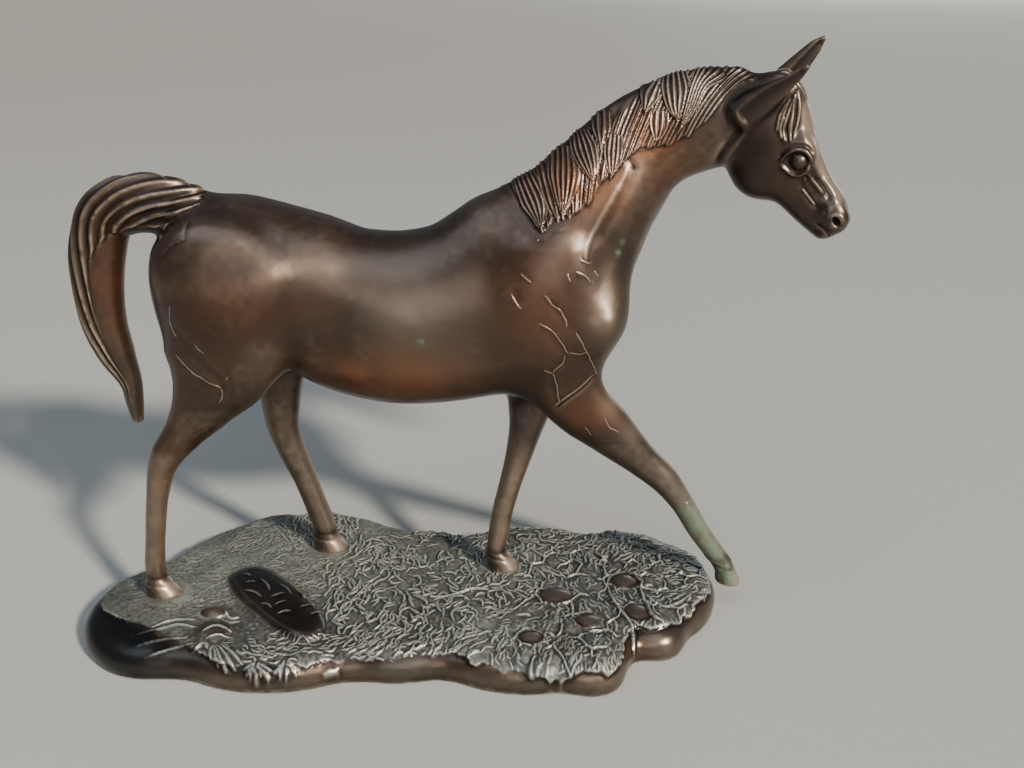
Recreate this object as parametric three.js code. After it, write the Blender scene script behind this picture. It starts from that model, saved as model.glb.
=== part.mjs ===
// Cast bronze horse at a collected canter, fixed on its own cast ground plinth.
// Units are millimetres. +X runs towards the muzzle, +Z up, and -Y is the side on which the mane falls.
// The origin is on the flat underside, at the middle of the footprint.
//
// The modeller's way of building it is kept: tapered rolls are laid along the bones, masses are
// pressed on for the muscles, everything is smoothed together, and the carving is cut last. Each
// form gives its distance from a point in space, so joining two forms is a smooth minimum. The
// surface where the distance is nought is then meshed finely and thinned to the few faces it needs.

import * as THREE from 'three';
import { edgeTable, triTable } from 'three/addons/objects/MarchingCubes.js';

// Driving dimensions
const MIDLINE = 7;
const SOLE_HEIGHT = 17.6;
const TOE_HEIGHT = 13.6;
const CASTING_GAP = 0.5;
const HORSE_CELL = 1.3;
const PLINTH_CELL = 1.9;
const HORSE_FACES = 7000;
const PLINTH_FACES = 2900;

// Head: where the top of the forehead is, how far the face leans from upright, and its turn to -Y
const FOREHEAD = [152, 3, 265];
const FACE_LEAN = THREE.MathUtils.degToRad(26.8);
const FACE_TURN = THREE.MathUtils.degToRad(17);

// Mane
const MANE_REACH = 29;
const LOCK_PITCH = 12.5;
const STRANDS_PER_LOCK = 2;
const STRAND_RELIEF = 0.55;
const MANE_THICKNESS = 1.1;

// Smooth joins and fades

function smoothMin(a, b, blend) {
  const h = Math.max(blend - Math.abs(a - b), 0) / blend;
  return Math.min(a, b) - h * h * blend * 0.25;
}

function smoothMax(a, b, blend) {
  return -smoothMin(-a, -b, blend);
}

function bell(distance, width) {
  return Math.exp(-((distance / width) ** 2));
}

const fade = THREE.MathUtils.smoothstep;

// Repeatable scatter: the same whole number always gives the same value between 0 and 1.
function scatter(index) {
  const wave = Math.sin(index * 127.1 + 311.7) * 43758.5453;
  return wave - Math.floor(wave);
}

// Distance to an ellipse-like section, measured along the ray from its middle
function radialDistance(radius, stretch, smallest) {
  return stretch > 1e-6 ? radius * (1 - 1 / stretch) : -smallest;
}

// Forms

const REACH = 16;

class Form {
  // A form ignores points further off than REACH, where it can't touch the surface.
  setBounds(low, high) {
    this.low = low.map((value) => value - REACH);
    this.high = high.map((value) => value + REACH);
  }

  near(x, y, z) {
    const { low, high } = this;
    return x > low[0] && x < high[0] && y > low[1] && y < high[1] && z > low[2] && z < high[2];
  }
}

// A roll laid along a smooth line. Each station is x, y, z, half depth and half width: the width
// lies across the body and the depth square to it and to the line.
class Roll extends Form {
  constructor(stations, { steps = 5, cap = 0.8, square = 2, egg = 0, across = [0, 1, 0] } = {}) {
    super();
    Object.assign(this, { cap, square, egg });
    const spine = new THREE.CatmullRomCurve3(
      stations.map(([x, y, z]) => new THREE.Vector3(x, y, z)), false, 'centripetal');
    const girth = new THREE.CatmullRomCurve3(
      stations.map((station) => new THREE.Vector3(station[3], station[4], 0)), false, 'centripetal');
    const last = (stations.length - 1) * steps;
    const sideways = new THREE.Vector3(...across);
    this.rings = [];
    for (let i = 0; i <= last; i += 1) {
      const along = spine.getTangent(i / last);
      const lateral = sideways.clone().addScaledVector(along, -sideways.dot(along)).normalize();
      const size = girth.getPoint(i / last);
      this.rings.push({
        at: spine.getPoint(i / last).toArray(),
        along: along.toArray(),
        lateral: lateral.toArray(),
        deep: lateral.clone().cross(along).toArray(),
        depth: Math.max(size.x, 0.3),
        width: Math.max(size.y, 0.3),
      });
    }
    const widest = Math.max(...this.rings.map((ring) => Math.max(ring.depth, ring.width)));
    const span = (axis, pick) => pick(...this.rings.map((ring) => ring.at[axis]));
    this.setBounds(
      [0, 1, 2].map((axis) => span(axis, Math.min) - widest),
      [0, 1, 2].map((axis) => span(axis, Math.max) + widest));
  }

  nearest(x, y, z) {
    let best = Infinity;
    let found = 0;
    let part = 0;
    for (let i = 0; i < this.rings.length - 1; i += 1) {
      const a = this.rings[i].at;
      const b = this.rings[i + 1].at;
      const ex = b[0] - a[0];
      const ey = b[1] - a[1];
      const ez = b[2] - a[2];
      const dot = (x - a[0]) * ex + (y - a[1]) * ey + (z - a[2]) * ez;
      const w = Math.min(Math.max(dot / (ex * ex + ey * ey + ez * ez), 0), 1);
      const gap = (x - a[0] - w * ex) ** 2 + (y - a[1] - w * ey) ** 2 + (z - a[2] - w * ez) ** 2;
      if (gap < best) {
        best = gap;
        found = i;
        part = w;
      }
    }
    return [found, part];
  }

  distance(x, y, z) {
    const [index, part] = this.nearest(x, y, z);
    const a = this.rings[index];
    const b = this.rings[index + 1];
    const mix = (from, to) => from + (to - from) * part;
    const off = [
      x - mix(a.at[0], b.at[0]),
      y - mix(a.at[1], b.at[1]),
      z - mix(a.at[2], b.at[2]),
    ];
    const along = (name) => off[0] * mix(a[name][0], b[name][0])
      + off[1] * mix(a[name][1], b[name][1]) + off[2] * mix(a[name][2], b[name][2]);
    const depth = mix(a.depth, b.depth);
    const deep = along('deep') / depth;
    const lean = 1 + this.egg * Math.min(Math.max(deep, -1), 1);
    const wide = along('lateral') / (mix(a.width, b.width) * lean);
    const smallest = Math.min(depth, mix(a.width, b.width));
    const atStart = index === 0 && part === 0;
    const atEnd = index === this.rings.length - 2 && part === 1;
    const beyond = atStart || atEnd ? along('along') / (smallest * this.cap) : 0;
    const power = this.square;
    const stretch = (Math.abs(deep) ** power + Math.abs(wide) ** power
      + Math.abs(beyond) ** power) ** (1 / power);
    return radialDistance(Math.hypot(...off), stretch, smallest);
  }
}

// A rounded mass: a centre, three half sizes and the three directions they lie in. A power over 2
// makes it squarer.
class Mass extends Form {
  constructor(centre, sizes, directions, power = 2) {
    super();
    Object.assign(this, { centre, sizes, directions, power });
    const widest = Math.max(...sizes);
    this.setBounds(centre.map((value) => value - widest), centre.map((value) => value + widest));
  }

  distance(x, y, z) {
    const off = [x - this.centre[0], y - this.centre[1], z - this.centre[2]];
    let sum = 0;
    this.directions.forEach((direction, i) => {
      const part = off[0] * direction[0] + off[1] * direction[1] + off[2] * direction[2];
      sum += Math.abs(part / this.sizes[i]) ** this.power;
    });
    const stretch = sum ** (1 / this.power);
    return radialDistance(Math.hypot(...off), stretch, Math.min(...this.sizes));
  }
}

// A muscle in the side view: its long axis leans up from level by the given degrees.
function muscle(x, y, z, long, wide, thick, lean) {
  const angle = THREE.MathUtils.degToRad(lean);
  const [c, s] = [Math.cos(angle), Math.sin(angle)];
  return new Mass([x, y, z], [long, wide, thick], [[c, 0, s], [-s, 0, c], [0, 1, 0]]);
}

// A hoof: a cone of oval section, flat at its sole, with the coronet set back from the toe
class Hoof extends Form {
  constructor({ x, y, sole, length, width, height, heading = 0, slope = 0 }) {
    super();
    Object.assign(this, { x, y, sole, length, width, height, slope });
    this.turn = [Math.cos(THREE.MathUtils.degToRad(heading)), Math.sin(THREE.MathUtils.degToRad(heading))];
    this.setBounds([x - length, y - length, sole - 2], [x + length, y + length, sole + height]);
  }

  distance(x, y, z) {
    const forward = (x - this.x) * this.turn[0] + (y - this.y) * this.turn[1];
    const sideways = (y - this.y) * this.turn[0] - (x - this.x) * this.turn[1];
    const tread = this.sole + this.slope * forward;
    const rise = Math.min(Math.max((z - tread) / this.height, -0.3), 1.3);
    const shift = this.length * (0.12 - 0.42 * rise);
    const long = this.length * (1 - 0.3 * rise);
    const wide = this.width * (1 - 0.24 * rise);
    const radius = Math.hypot(forward - shift, sideways);
    const wall = radialDistance(radius, Math.hypot((forward - shift) / long, sideways / wide), wide);
    return Math.max(smoothMax(wall, z - tread - this.height, 3), tread - z);
  }
}

// The head has its own frame: down the face, forward out of the face, and left across it.
const headAxes = (() => {
  const ahead = [Math.cos(FACE_TURN), -Math.sin(FACE_TURN), 0];
  const [c, s] = [Math.cos(FACE_LEAN), Math.sin(FACE_LEAN)];
  return [
    [ahead[0] * s, ahead[1] * s, -c],
    [ahead[0] * c, ahead[1] * c, s],
    [Math.sin(FACE_TURN), Math.cos(FACE_TURN), 0],
  ];
})();

function onHead(down, front, left) {
  return FOREHEAD.map((start, i) => (
    start + down * headAxes[0][i] + front * headAxes[1][i] + left * headAxes[2][i]));
}

function toHead(x, y, z) {
  const off = [x - FOREHEAD[0], y - FOREHEAD[1], z - FOREHEAD[2]];
  return headAxes.map((axis) => off[0] * axis[0] + off[1] * axis[1] + off[2] * axis[2]);
}

function headMass(down, front, left, sizes) {
  return new Mass(onHead(down, front, left), sizes, headAxes);
}

// Trunk and neck: x, z, half depth and half width of each station along the midline
const midline = ([x, z, depth, width]) => [x, MIDLINE, z, depth, width];

const trunk = new Roll([
  [-127.8, 168.5, 27, 20],
  [-114, 170.5, 41.5, 29],
  [-93, 173, 42, 32],
  [-70, 171, 37, 31],
  [-47, 160, 40.5, 31.5],
  [-23, 155.5, 42, 33],
  [1, 158, 43, 33],
  [24, 164, 46, 31.5],
  [48, 164, 43, 28],
  [63, 160, 31, 20],
].map(midline), { cap: 0.5 });

const neck = new Roll([
  [49, 186, 37, 23],
  [60.5, 201.8, 31.5, 18.5],
  [73.4, 219.2, 26, 15],
  [86.6, 234.4, 22.6, 13],
  [98.4, 242, 21.2, 12],
  [110.3, 246.4, 20.9, 11.5],
  [130.5, 249.7, 19.2, 10.5],
].map(midline), { egg: 0.22 });

const skull = new Roll([
  [-1, -14, 13, 9],
  [10, -13.3, 14.6, 10.6],
  [24, -15.2, 15.8, 11.6],
  [36, -14.6, 14.4, 9.8],
  [48, -12, 12.2, 7.8],
  [58, -9, 11, 7.4],
  [64.5, -7.8, 8.8, 7.2],
].map(([down, front, depth, width]) => [...onHead(down, front, 0), depth, width]),
{ square: 2.4, cap: 0.75, across: headAxes[2] });

// Ears: x, y, z, half breadth and half thickness
const nearEar = new Roll([
  [128, -3, 251, 5.9, 5.2],
  [133.3, -5, 255.8, 5.1, 4],
  [139.4, -6, 260.3, 4.1, 2.7],
  [147, -6.5, 265.4, 2.9, 1.8],
  [152, -6.8, 269.1, 2, 1.3],
  [155.3, -7, 272.3, 0.8, 0.8],
]);

const farEar = new Roll([
  [139, 13, 254, 6.2, 5.5],
  [146.5, 15, 260.6, 5.6, 4],
  [153.6, 16, 267.4, 4.9, 2.6],
  [159.4, 16.6, 273.4, 4.2, 2],
  [163.6, 17.2, 278, 3.2, 1.5],
  [167.9, 18, 282.2, 0.8, 0.8],
]);

// Legs: x, y, z, half depth and half width from the body down to the coronet
const nearHindLeg = new Roll([
  [-101, -13, 176, 26, 15],
  [-105.2, -14, 140, 25.6, 13.5],
  [-115, -14.5, 120.5, 15.4, 10.5],
  [-125.2, -15, 106.6, 9.6, 7.6],
  [-136.9, -16, 91.2, 7.2, 6],
  [-141.8, -17, 74, 5.4, 4.8],
  [-146.2, -17, 49, 4.8, 4.5],
  [-148.3, -17, 33, 5.1, 4.8],
  [-148, -17, 25.5, 4.6, 4.6],
]);

const farHindLeg = new Roll([
  [-92, 26, 165, 25, 14],
  [-87, 27, 138, 19, 12],
  [-88.3, 27, 114, 11.4, 9],
  [-89, 27, 92, 8.6, 7.2],
  [-86.5, 27, 80, 7.6, 6.6],
  [-79.5, 27, 59.3, 6.2, 5.6],
  [-74.2, 27, 41.2, 6.1, 5.4],
  [-71.5, 27, 32, 6.2, 5.6],
  [-70.5, 27, 25.5, 5.4, 5.2],
]);

const nearForeLeg = new Roll([
  [46, -8, 152, 26, 13],
  [58.8, -7, 121.5, 16.5, 10.5],
  [76.3, -5, 103, 12.6, 9.4],
  [93.1, -3, 86.1, 8.6, 7.3],
  [106.3, -2, 73.7, 7.3, 6.8],
  [115.6, -1, 60.5, 5.8, 5.5],
  [125.3, -1, 44.3, 5.4, 5],
  [133.9, 0, 31.9, 5, 5],
  [139.3, 0, 24.5, 5, 5],
]);

const farForeLeg = new Roll([
  [43, 20, 140, 20, 12],
  [39.5, 19, 108, 12, 9.6],
  [36.9, 18, 92.9, 8.6, 8],
  [32.8, 16, 76.4, 6.7, 6.4],
  [29.7, 14, 65.9, 6, 5.9],
  [25.2, 11, 49.5, 5.5, 5.1],
  [23.3, 9, 38.7, 5.5, 5.1],
  [21.8, 7.5, 30, 4.9, 4.9],
  [22.3, 7, 24.5, 4.6, 4.6],
]);

const tail = new Roll([
  [-110, 202, 13, 9],
  [-121, 206.8, 13.3, 9.5],
  [-133, 210.2, 13.3, 10],
  [-145.6, 209.7, 13.2, 10.5],
  [-156, 204.4, 12.5, 10.5],
  [-161.6, 190, 12.5, 10],
  [-164.3, 173, 11.6, 9],
  [-164.4, 155, 10.4, 8.2],
  [-160.9, 139, 8.5, 7],
  [-156.5, 124, 5.6, 5],
  [-155.9, 113.5, 4.5, 4.2],
  [-155.6, 103.4, 3, 2.9],
].map(midline));

// Hooves: the three that stand are flat on the ground, and the reaching one points its toe down.
const hooves = [
  new Hoof({ x: -146, y: -17, sole: SOLE_HEIGHT, length: 9, width: 7.6, height: 9 }),
  new Hoof({ x: -69, y: 27, sole: SOLE_HEIGHT, length: 9.4, width: 8, height: 9.5 }),
  new Hoof({ x: 25, y: 7, sole: SOLE_HEIGHT, length: 8.6, width: 7.4, height: 9 }),
  new Hoof({ x: 142, y: 0, sole: TOE_HEIGHT, length: 6.8, width: 6.4, height: 11, slope: -0.12 }),
];

// Each form in turn, with the width over which it melts into those before it
const horseForms = [
  [trunk, 0],
  [neck, 26],
  [muscle(-102, -15, 182, 29, 24, 13, -20), 9],
  [muscle(-99, 30, 180, 29, 26, 12, -20), 9],
  [muscle(42, -14, 172, 21, 31, 12, -18), 10],
  [muscle(42, 28, 172, 21, 31, 12, -18), 10],
  [muscle(64, -3, 160, 16, 20, 12, -30), 8],
  [muscle(64, 17, 160, 16, 20, 12, -30), 8],
  [nearHindLeg, 12],
  [farHindLeg, 12],
  [muscle(-86, -17, 146, 15, 11, 8, 60), 9],
  [nearForeLeg, 14],
  [farForeLeg, 14],
  [skull, 10],
  [headMass(28, -26, 0, [15.8, 14.6, 9.6]), 5],
  [headMass(29.5, -8, 8.6, [8.5, 6.5, 4]), 4],
  [headMass(29.5, -8, -8.6, [8.5, 6.5, 4]), 4],
  [headMass(32, -9.4, 10.6, [4, 3.6, 2.6]), 1],
  [headMass(32, -9.4, -10.6, [4, 3.6, 2.6]), 1],
  [headMass(61.5, -5.3, 6, [6.4, 5.6, 3.2]), 4],
  [headMass(61.5, -5.3, -6, [6.4, 5.6, 3.2]), 4],
  [headMass(61.5, -13.2, 0, [5.6, 4, 5]), 3],
  [headMass(9, -2.6, 0, [15, 4.4, 7.6]), 3],
  [nearEar, 2.5],
  [farEar, 2.5],
  [tail, 5],
  [hooves[0], 2],
  [hooves[1], 2],
  [hooves[2], 2],
  [hooves[3], 2],
];

// Hollows pressed into the finished form, each with the width of its soft edge
const horseHollows = [
  [headMass(63.5, -5, 10, [3.4, 2, 2.4]), 1],
  [headMass(63.5, -5, -10, [3.4, 2, 2.4]), 1],
];

// Carving

// A line drawn on the side of the body, in x and z, cut (or raised, if its depth is negative)
class SideLine {
  constructor(points, depth, width) {
    this.points = points;
    this.depth = depth;
    this.width = width;
  }

  cut(x, z) {
    let best = Infinity;
    for (let i = 0; i < this.points.length - 1; i += 1) {
      const [ax, az] = this.points[i];
      const [bx, bz] = this.points[i + 1];
      const [ex, ez] = [bx - ax, bz - az];
      const w = THREE.MathUtils.clamp(((x - ax) * ex + (z - az) * ez) / (ex * ex + ez * ez), 0, 1);
      best = Math.min(best, Math.hypot(x - ax - w * ex, z - az - w * ez));
    }
    return best < this.width * 3 ? this.depth * bell(best, this.width) : 0;
  }
}

const bodyLines = [
  new SideLine([[82, 233], [77, 222], [69, 207], [64, 194]], 0.8, 2.2),
  new SideLine([[44, 179], [55, 165], [63, 156]], 0.8, 1.9),
  new SideLine([[43, 166], [54, 152], [62, 151]], 0.8, 1.9),
  new SideLine([[56, 150], [49, 139], [51, 125], [53, 117]], 0.8, 1.9),
  new SideLine([[30, 182], [34, 172]], 0.6, 1.8),
  new SideLine([[-79, 152], [-70, 144]], 0.9, 2.4),
  new SideLine([[-121, 164], [-116, 154], [-102, 136], [-103, 126]], 0.7, 1.9),
  new SideLine([[63, 128], [71, 134]], 0.7, 1.8),
];

// Lines on the head, in down and front, the same on both cheeks
const headLines = [
  new SideLine([[37.5, -9.5], [50.5, -6.4]], -1.3, 1.5),
  new SideLine([[40, -5.6], [55, -2.8]], 0.9, 1.6),
  new SideLine([[43, -12.5], [53.5, -10.4]], -0.5, 1.0),
  new SideLine([[69, -9.5], [60, -12.6]], 0.9, 1.1),
  new SideLine([[16, -11], [22, -7.5]], 0.8, 2.4),
];

function headRelief(x, y, z) {
  const [down, front, left] = toHead(x, y, z);
  const onCheek = fade(Math.abs(left), 3.5, 5.5);
  let raised = 0;
  for (const line of headLines) {
    raised -= line.cut(down, front) * onCheek;
  }
  const long = (down - 32) * 0.6 + (front + 9.8) * 0.8;
  const tall = (down - 32) * 0.8 - (front + 9.8) * 0.6;
  const lid = Math.abs(Math.hypot(long / 5.4, tall / 3.5) - 1) * 4;
  raised += 0.8 * bell(lid, 1.1) * onCheek;
  const forelock = fade(down, -4, 2) * (1 - fade(down, 17, 23)) * (1 - fade(Math.abs(left), 6, 9));
  raised += 0.45 * forelock * Math.cos(left * 1.9 + down * 0.16) * fade(front, -8, -4);
  return raised;
}

// The crest of the neck as a height above each x, from the withers to the poll
const crestLine = new THREE.SplineCurve([
  [22, 211], [30, 218.1], [51.4, 239], [68.7, 253.7], [85.9, 263.5], [102.9, 270.2], [120.1, 272.4],
  [137.8, 269.5], [150, 262],
].map(([x, z]) => new THREE.Vector2(x, z))).getPoints(96);

function crestHeight(x) {
  const last = crestLine.length - 1;
  if (x <= crestLine[0].x) {
    return crestLine[0].y;
  }
  for (let i = 1; i <= last; i += 1) {
    if (x < crestLine[i].x) {
      const w = (x - crestLine[i - 1].x) / (crestLine[i].x - crestLine[i - 1].x);
      return THREE.MathUtils.lerp(crestLine[i - 1].y, crestLine[i].y, w);
    }
  }
  return crestLine[last].y;
}

// One layer of hanging locks. The locks lean back from the crest and curl forward at their tips.
function lockLayer(x, drop, reach, pitch, offset) {
  const place = (x + drop * 0.62 - drop * drop * 0.013 + offset) / pitch;
  const lock = Math.floor(place);
  const across = place - lock - 0.5;
  const own = scatter(lock + offset);
  const next = scatter(lock + Math.sign(across) + offset);
  const length = reach * (0.86 + 0.28 * THREE.MathUtils.lerp(own, next, Math.abs(across)));
  const edge = length * (1 - 0.34 * Math.abs(across * 2) ** 1.4);
  const cover = 1 - fade(drop, edge - 1.2, edge + 1.2);
  const strand = Math.cos(across * 2 * Math.PI * STRANDS_PER_LOCK) * fade(drop, 0, 5);
  return cover * (MANE_THICKNESS + STRAND_RELIEF * strand);
}

function maneRelief(x, y, z) {
  const drop = crestHeight(x) - z;
  const side = 1 - fade(y, MIDLINE + 1, MIDLINE + 6 - Math.min(Math.max(drop, 0), 4));
  const place = fade(x, 26, 33) * (1 - fade(x, 128, 138));
  if (drop > 40 || side === 0 || place === 0) {
    return 0;
  }
  const shorter = fade(x, 22, 50) * (1 - 0.62 * fade(x, 104, 134));
  const depth = Math.max(drop, 0);
  const under = lockLayer(x, depth, MANE_REACH * shorter, LOCK_PITCH, 3);
  const over = lockLayer(x, depth, MANE_REACH * 0.55 * shorter, LOCK_PITCH * 1.2, 8);
  return side * place * (under + over * 0.6);
}

// Strands start along the top of the dock, sweep round to the side and then run down the tail.
// Past the bend they keep to its outer half, which ends in a step over the smooth inner side.
const TAIL_LENGTH = 160;
const TAIL_STRANDS = 12.5;

function tailRelief(x, y, z) {
  const [index, part] = tail.nearest(x, y, z);
  const ring = tail.rings[index];
  const off = [x - ring.at[0], y - ring.at[1], z - ring.at[2]];
  const dot = (axis) => off[0] * axis[0] + off[1] * axis[1] + off[2] * axis[2];
  const around = Math.abs(Math.atan2(dot(ring.lateral), dot(ring.deep)));
  const run = (index + part) / (tail.rings.length - 1);
  const sweep = 2 * Math.log(1 + (run * TAIL_LENGTH) / 26);
  const strand = Math.cos(TAIL_STRANDS * (sweep - around));
  const edge = THREE.MathUtils.lerp(2.4, 1.45, fade(run, 0.34, 0.5));
  const outer = (1 - fade(around, edge - 0.12, edge + 0.12)) * (1 - fade(run, 0.84, 0.93));
  return outer * (0.35 + 0.75 * strand * (1 - fade(run, 0.7, 0.9))) * fade(run, 0.02, 0.1);
}

function horseRelief(x, y, z) {
  let raised = 0;
  if (z > 100 && x < 90) {
    for (const line of bodyLines) {
      raised -= line.cut(x, z);
    }
  }
  if (x > 20 && x < 142 && z > 190) {
    raised += maneRelief(x, y, z);
  }
  if (x > 128 && z > 190) {
    raised += headRelief(x, y, z);
  }
  if (x < -112 && tail.near(x, y, z) && tail.distance(x, y, z) < 3) {
    raised += tailRelief(x, y, z);
  }
  return raised;
}

function horseField(x, y, z) {
  let distance = REACH;
  for (const [form, blend] of horseForms) {
    if (form.near(x, y, z)) {
      const own = form.distance(x, y, z);
      distance = blend === 0 ? Math.min(distance, own) : smoothMin(distance, own, blend);
    }
  }
  for (const [form, blend] of horseHollows) {
    if (form.near(x, y, z)) {
      distance = smoothMax(distance, -form.distance(x, y, z), blend);
    }
  }
  for (const hoof of hooves) {
    if (hoof.near(x, y, z)) {
      distance = Math.max(distance, hoof.sole + hoof.slope * (x - hoof.x) - z);
    }
  }
  return Math.abs(distance) < 5 ? distance - horseRelief(x, y, z) : distance;
}

// Plinth: the footprint is a string of overlapping rounds, x, y and radius
const footprint = [
  [-140, -21, 44],
  [-84, 0, 75],
  [-25, -7, 61],
  [38, -9, 67],
  [90, 4, 47],
  [101, -38, 13],
  [68, -62, 15],
];

// Swells of the ground: x, y, height and radius
const swells = [
  [-84, 34, 3.2, 30],
  [-150, -24, 2, 24],
  [-118, -30, -2, 22],
  [-30, -8, 2.4, 34],
  [-60, -48, -1.6, 26],
  [26, 14, 2.8, 26],
  [78, 24, 2.2, 26],
  [60, -30, 1.6, 30],
  [106, 2, 1.2, 22],
];

// What lies on the ground: stones and lumps as x, y, half length, half width and height, and the
// broad leaf
const lying = (x, y, z, sizes, degrees, power) => {
  const angle = THREE.MathUtils.degToRad(degrees);
  const [c, s] = [Math.cos(angle), Math.sin(angle)];
  return new Mass([x, y, z], sizes, [[c, s, 0], [-s, c, 0], [0, 0, 1]], power);
};

const groundMasses = [
  ...[
    [52, -21, 8.5, 6.5, 19.6],
    [88, -8, 7, 6, 19],
    [92, -34, 7.5, 6.5, 18.4],
    [67, -42, 6.5, 5, 18.6],
    [39, -54, 6, 4.5, 17.6],
    [-117, -31, 6.5, 4.5, 17.2],
    [-113, -45, 9, 6.5, 17.2],
  ].map(([x, y, long, wide, top]) => lying(x, y, top - 5, [long, wide, 5], 0, 2)),
  lying(-88, -23, 14.4, [37, 11.8, 5.6], -48, 3),
];

function groundHeight(x, y) {
  let height = 15.2;
  for (const [cx, cy, rise, radius] of swells) {
    height += rise * bell(Math.hypot(x - cx, y - cy), radius);
  }
  for (const hoof of hooves.slice(0, 3)) {
    const out = Math.hypot(x - hoof.x, y - hoof.y);
    height = THREE.MathUtils.lerp(height, hoof.sole - CASTING_GAP, 1 - fade(out, 10, 17));
  }
  return height;
}

function plinthField(x, y, z) {
  let outline = REACH;
  for (const [cx, cy, radius] of footprint) {
    outline = smoothMin(outline, Math.hypot(x - cx, y - cy) - radius, 10);
  }
  if (outline > REACH - 1) {
    return outline;
  }
  let solid = smoothMax(outline + 1.2 * bell(z, 5), z - groundHeight(x, y), 13);
  for (const mass of groundMasses) {
    if (mass.near(x, y, z)) {
      solid = smoothMin(solid, mass.distance(x, y, z), 4);
    }
  }
  const toe = hooves[3];
  if (Math.abs(x - toe.x) < 16 && Math.abs(y - toe.y) < 16) {
    solid = smoothMax(solid, CASTING_GAP - horseField(x, y, z), 0.6);
  }
  return Math.max(solid, -z);
}

// Meshing: cells that the surface passes through are cut along it, and neighbours share points.

const BLOCK = 8;

function meshField(field, low, high, cell) {
  const count = low.map((start, axis) => Math.ceil((high[axis] - start) / cell / BLOCK) * BLOCK);
  const strideY = count[0] + 1;
  const strideZ = strideY * (count[1] + 1);
  const points = [];
  const faces = [];
  const shared = new Map();
  const corners = [[0, 0, 0], [1, 0, 0], [1, 1, 0], [0, 1, 0], [0, 0, 1], [1, 0, 1], [1, 1, 1], [0, 1, 1]];
  const edges = [
    [0, 1], [1, 2], [3, 2], [0, 3], [4, 5], [5, 6], [7, 6], [4, 7], [0, 4], [1, 5], [2, 6], [3, 7],
  ];
  const side = BLOCK + 1;
  const values = new Float64Array(side ** 3);
  const valueAt = (i, j, k) => field(low[0] + i * cell, low[1] + j * cell, low[2] + k * cell);

  function meshCell(i, j, k, start) {
    const samples = corners.map(([a, b, c]) => values[start + a + b * side + c * side * side]);
    let pattern = 0;
    samples.forEach((sample, corner) => {
      pattern |= sample < 0 ? 1 << corner : 0;
    });
    if (edgeTable[pattern] === 0) {
      return;
    }
    const cut = edges.map(([from, to], edge) => {
      if ((edgeTable[pattern] & (1 << edge)) === 0) {
        return -1;
      }
      const [a, b] = [corners[from], corners[to]];
      const axis = a.findIndex((value, n) => value !== b[n]);
      const key = 3 * (i + a[0] + (j + a[1]) * strideY + (k + a[2]) * strideZ) + axis;
      if (!shared.has(key)) {
        const w = THREE.MathUtils.clamp(samples[from] / (samples[from] - samples[to]), 0.02, 0.98);
        const at = [i + a[0], j + a[1], k + a[2]];
        at[axis] += w;
        shared.set(key, points.length / 3);
        points.push(low[0] + at[0] * cell, low[1] + at[1] * cell, low[2] + at[2] * cell);
      }
      return shared.get(key);
    });
    for (let n = pattern * 16; triTable[n] !== -1; n += 3) {
      faces.push(cut[triTable[n]], cut[triTable[n + 2]], cut[triTable[n + 1]]);
    }
  }

  for (let bk = 0; bk < count[2]; bk += BLOCK) {
    for (let bj = 0; bj < count[1]; bj += BLOCK) {
      for (let bi = 0; bi < count[0]; bi += BLOCK) {
        const middle = valueAt(bi + BLOCK / 2, bj + BLOCK / 2, bk + BLOCK / 2);
        if (Math.abs(middle) > BLOCK * cell * 1.25) {
          continue;
        }
        let n = 0;
        for (let k = 0; k < side; k += 1) {
          for (let j = 0; j < side; j += 1) {
            for (let i = 0; i < side; i += 1) {
              values[n] = valueAt(bi + i, bj + j, bk + k);
              n += 1;
            }
          }
        }
        for (let k = 0; k < BLOCK; k += 1) {
          for (let j = 0; j < BLOCK; j += 1) {
            for (let i = 0; i < BLOCK; i += 1) {
              meshCell(bi + i, bj + j, bk + k, i + j * side + k * side * side);
            }
          }
        }
      }
    }
  }
  return { points, faces };
}

// Only the largest connected body is kept.
function largestBody({ points, faces }) {
  const parent = Int32Array.from({ length: points.length / 3 }, (_, i) => i);
  const root = (start) => {
    let i = start;
    while (parent[i] !== i) {
      parent[i] = parent[parent[i]];
      i = parent[i];
    }
    return i;
  };
  for (let f = 0; f < faces.length; f += 3) {
    parent[root(faces[f + 1])] = root(faces[f]);
    parent[root(faces[f + 2])] = root(faces[f]);
  }
  const sizes = new Map();
  for (let f = 0; f < faces.length; f += 3) {
    const body = root(faces[f]);
    sizes.set(body, (sizes.get(body) ?? 0) + 1);
  }
  const [body] = [...sizes].sort((a, b) => b[1] - a[1])[0];
  return { points, faces: faces.filter((_, i) => root(faces[i - (i % 3)]) === body) };
}

// Thinning: edges are folded away in order of how little each one moves the surface.

class EdgeHeap {
  constructor() {
    this.items = [];
  }

  push(item) {
    const { items } = this;
    let i = items.length;
    items.push(item);
    while (i > 0) {
      const up = (i - 1) >> 1;
      if (items[up].cost <= item.cost) {
        break;
      }
      items[i] = items[up];
      i = up;
    }
    items[i] = item;
  }

  pop() {
    const { items } = this;
    const top = items[0];
    const item = items.pop();
    const size = items.length;
    if (size > 0) {
      let i = 0;
      for (;;) {
        let down = 2 * i + 1;
        if (down >= size) {
          break;
        }
        if (down + 1 < size && items[down + 1].cost < items[down].cost) {
          down += 1;
        }
        if (items[down].cost >= item.cost) {
          break;
        }
        items[i] = items[down];
        i = down;
      }
      items[i] = item;
    }
    return top;
  }
}

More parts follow.
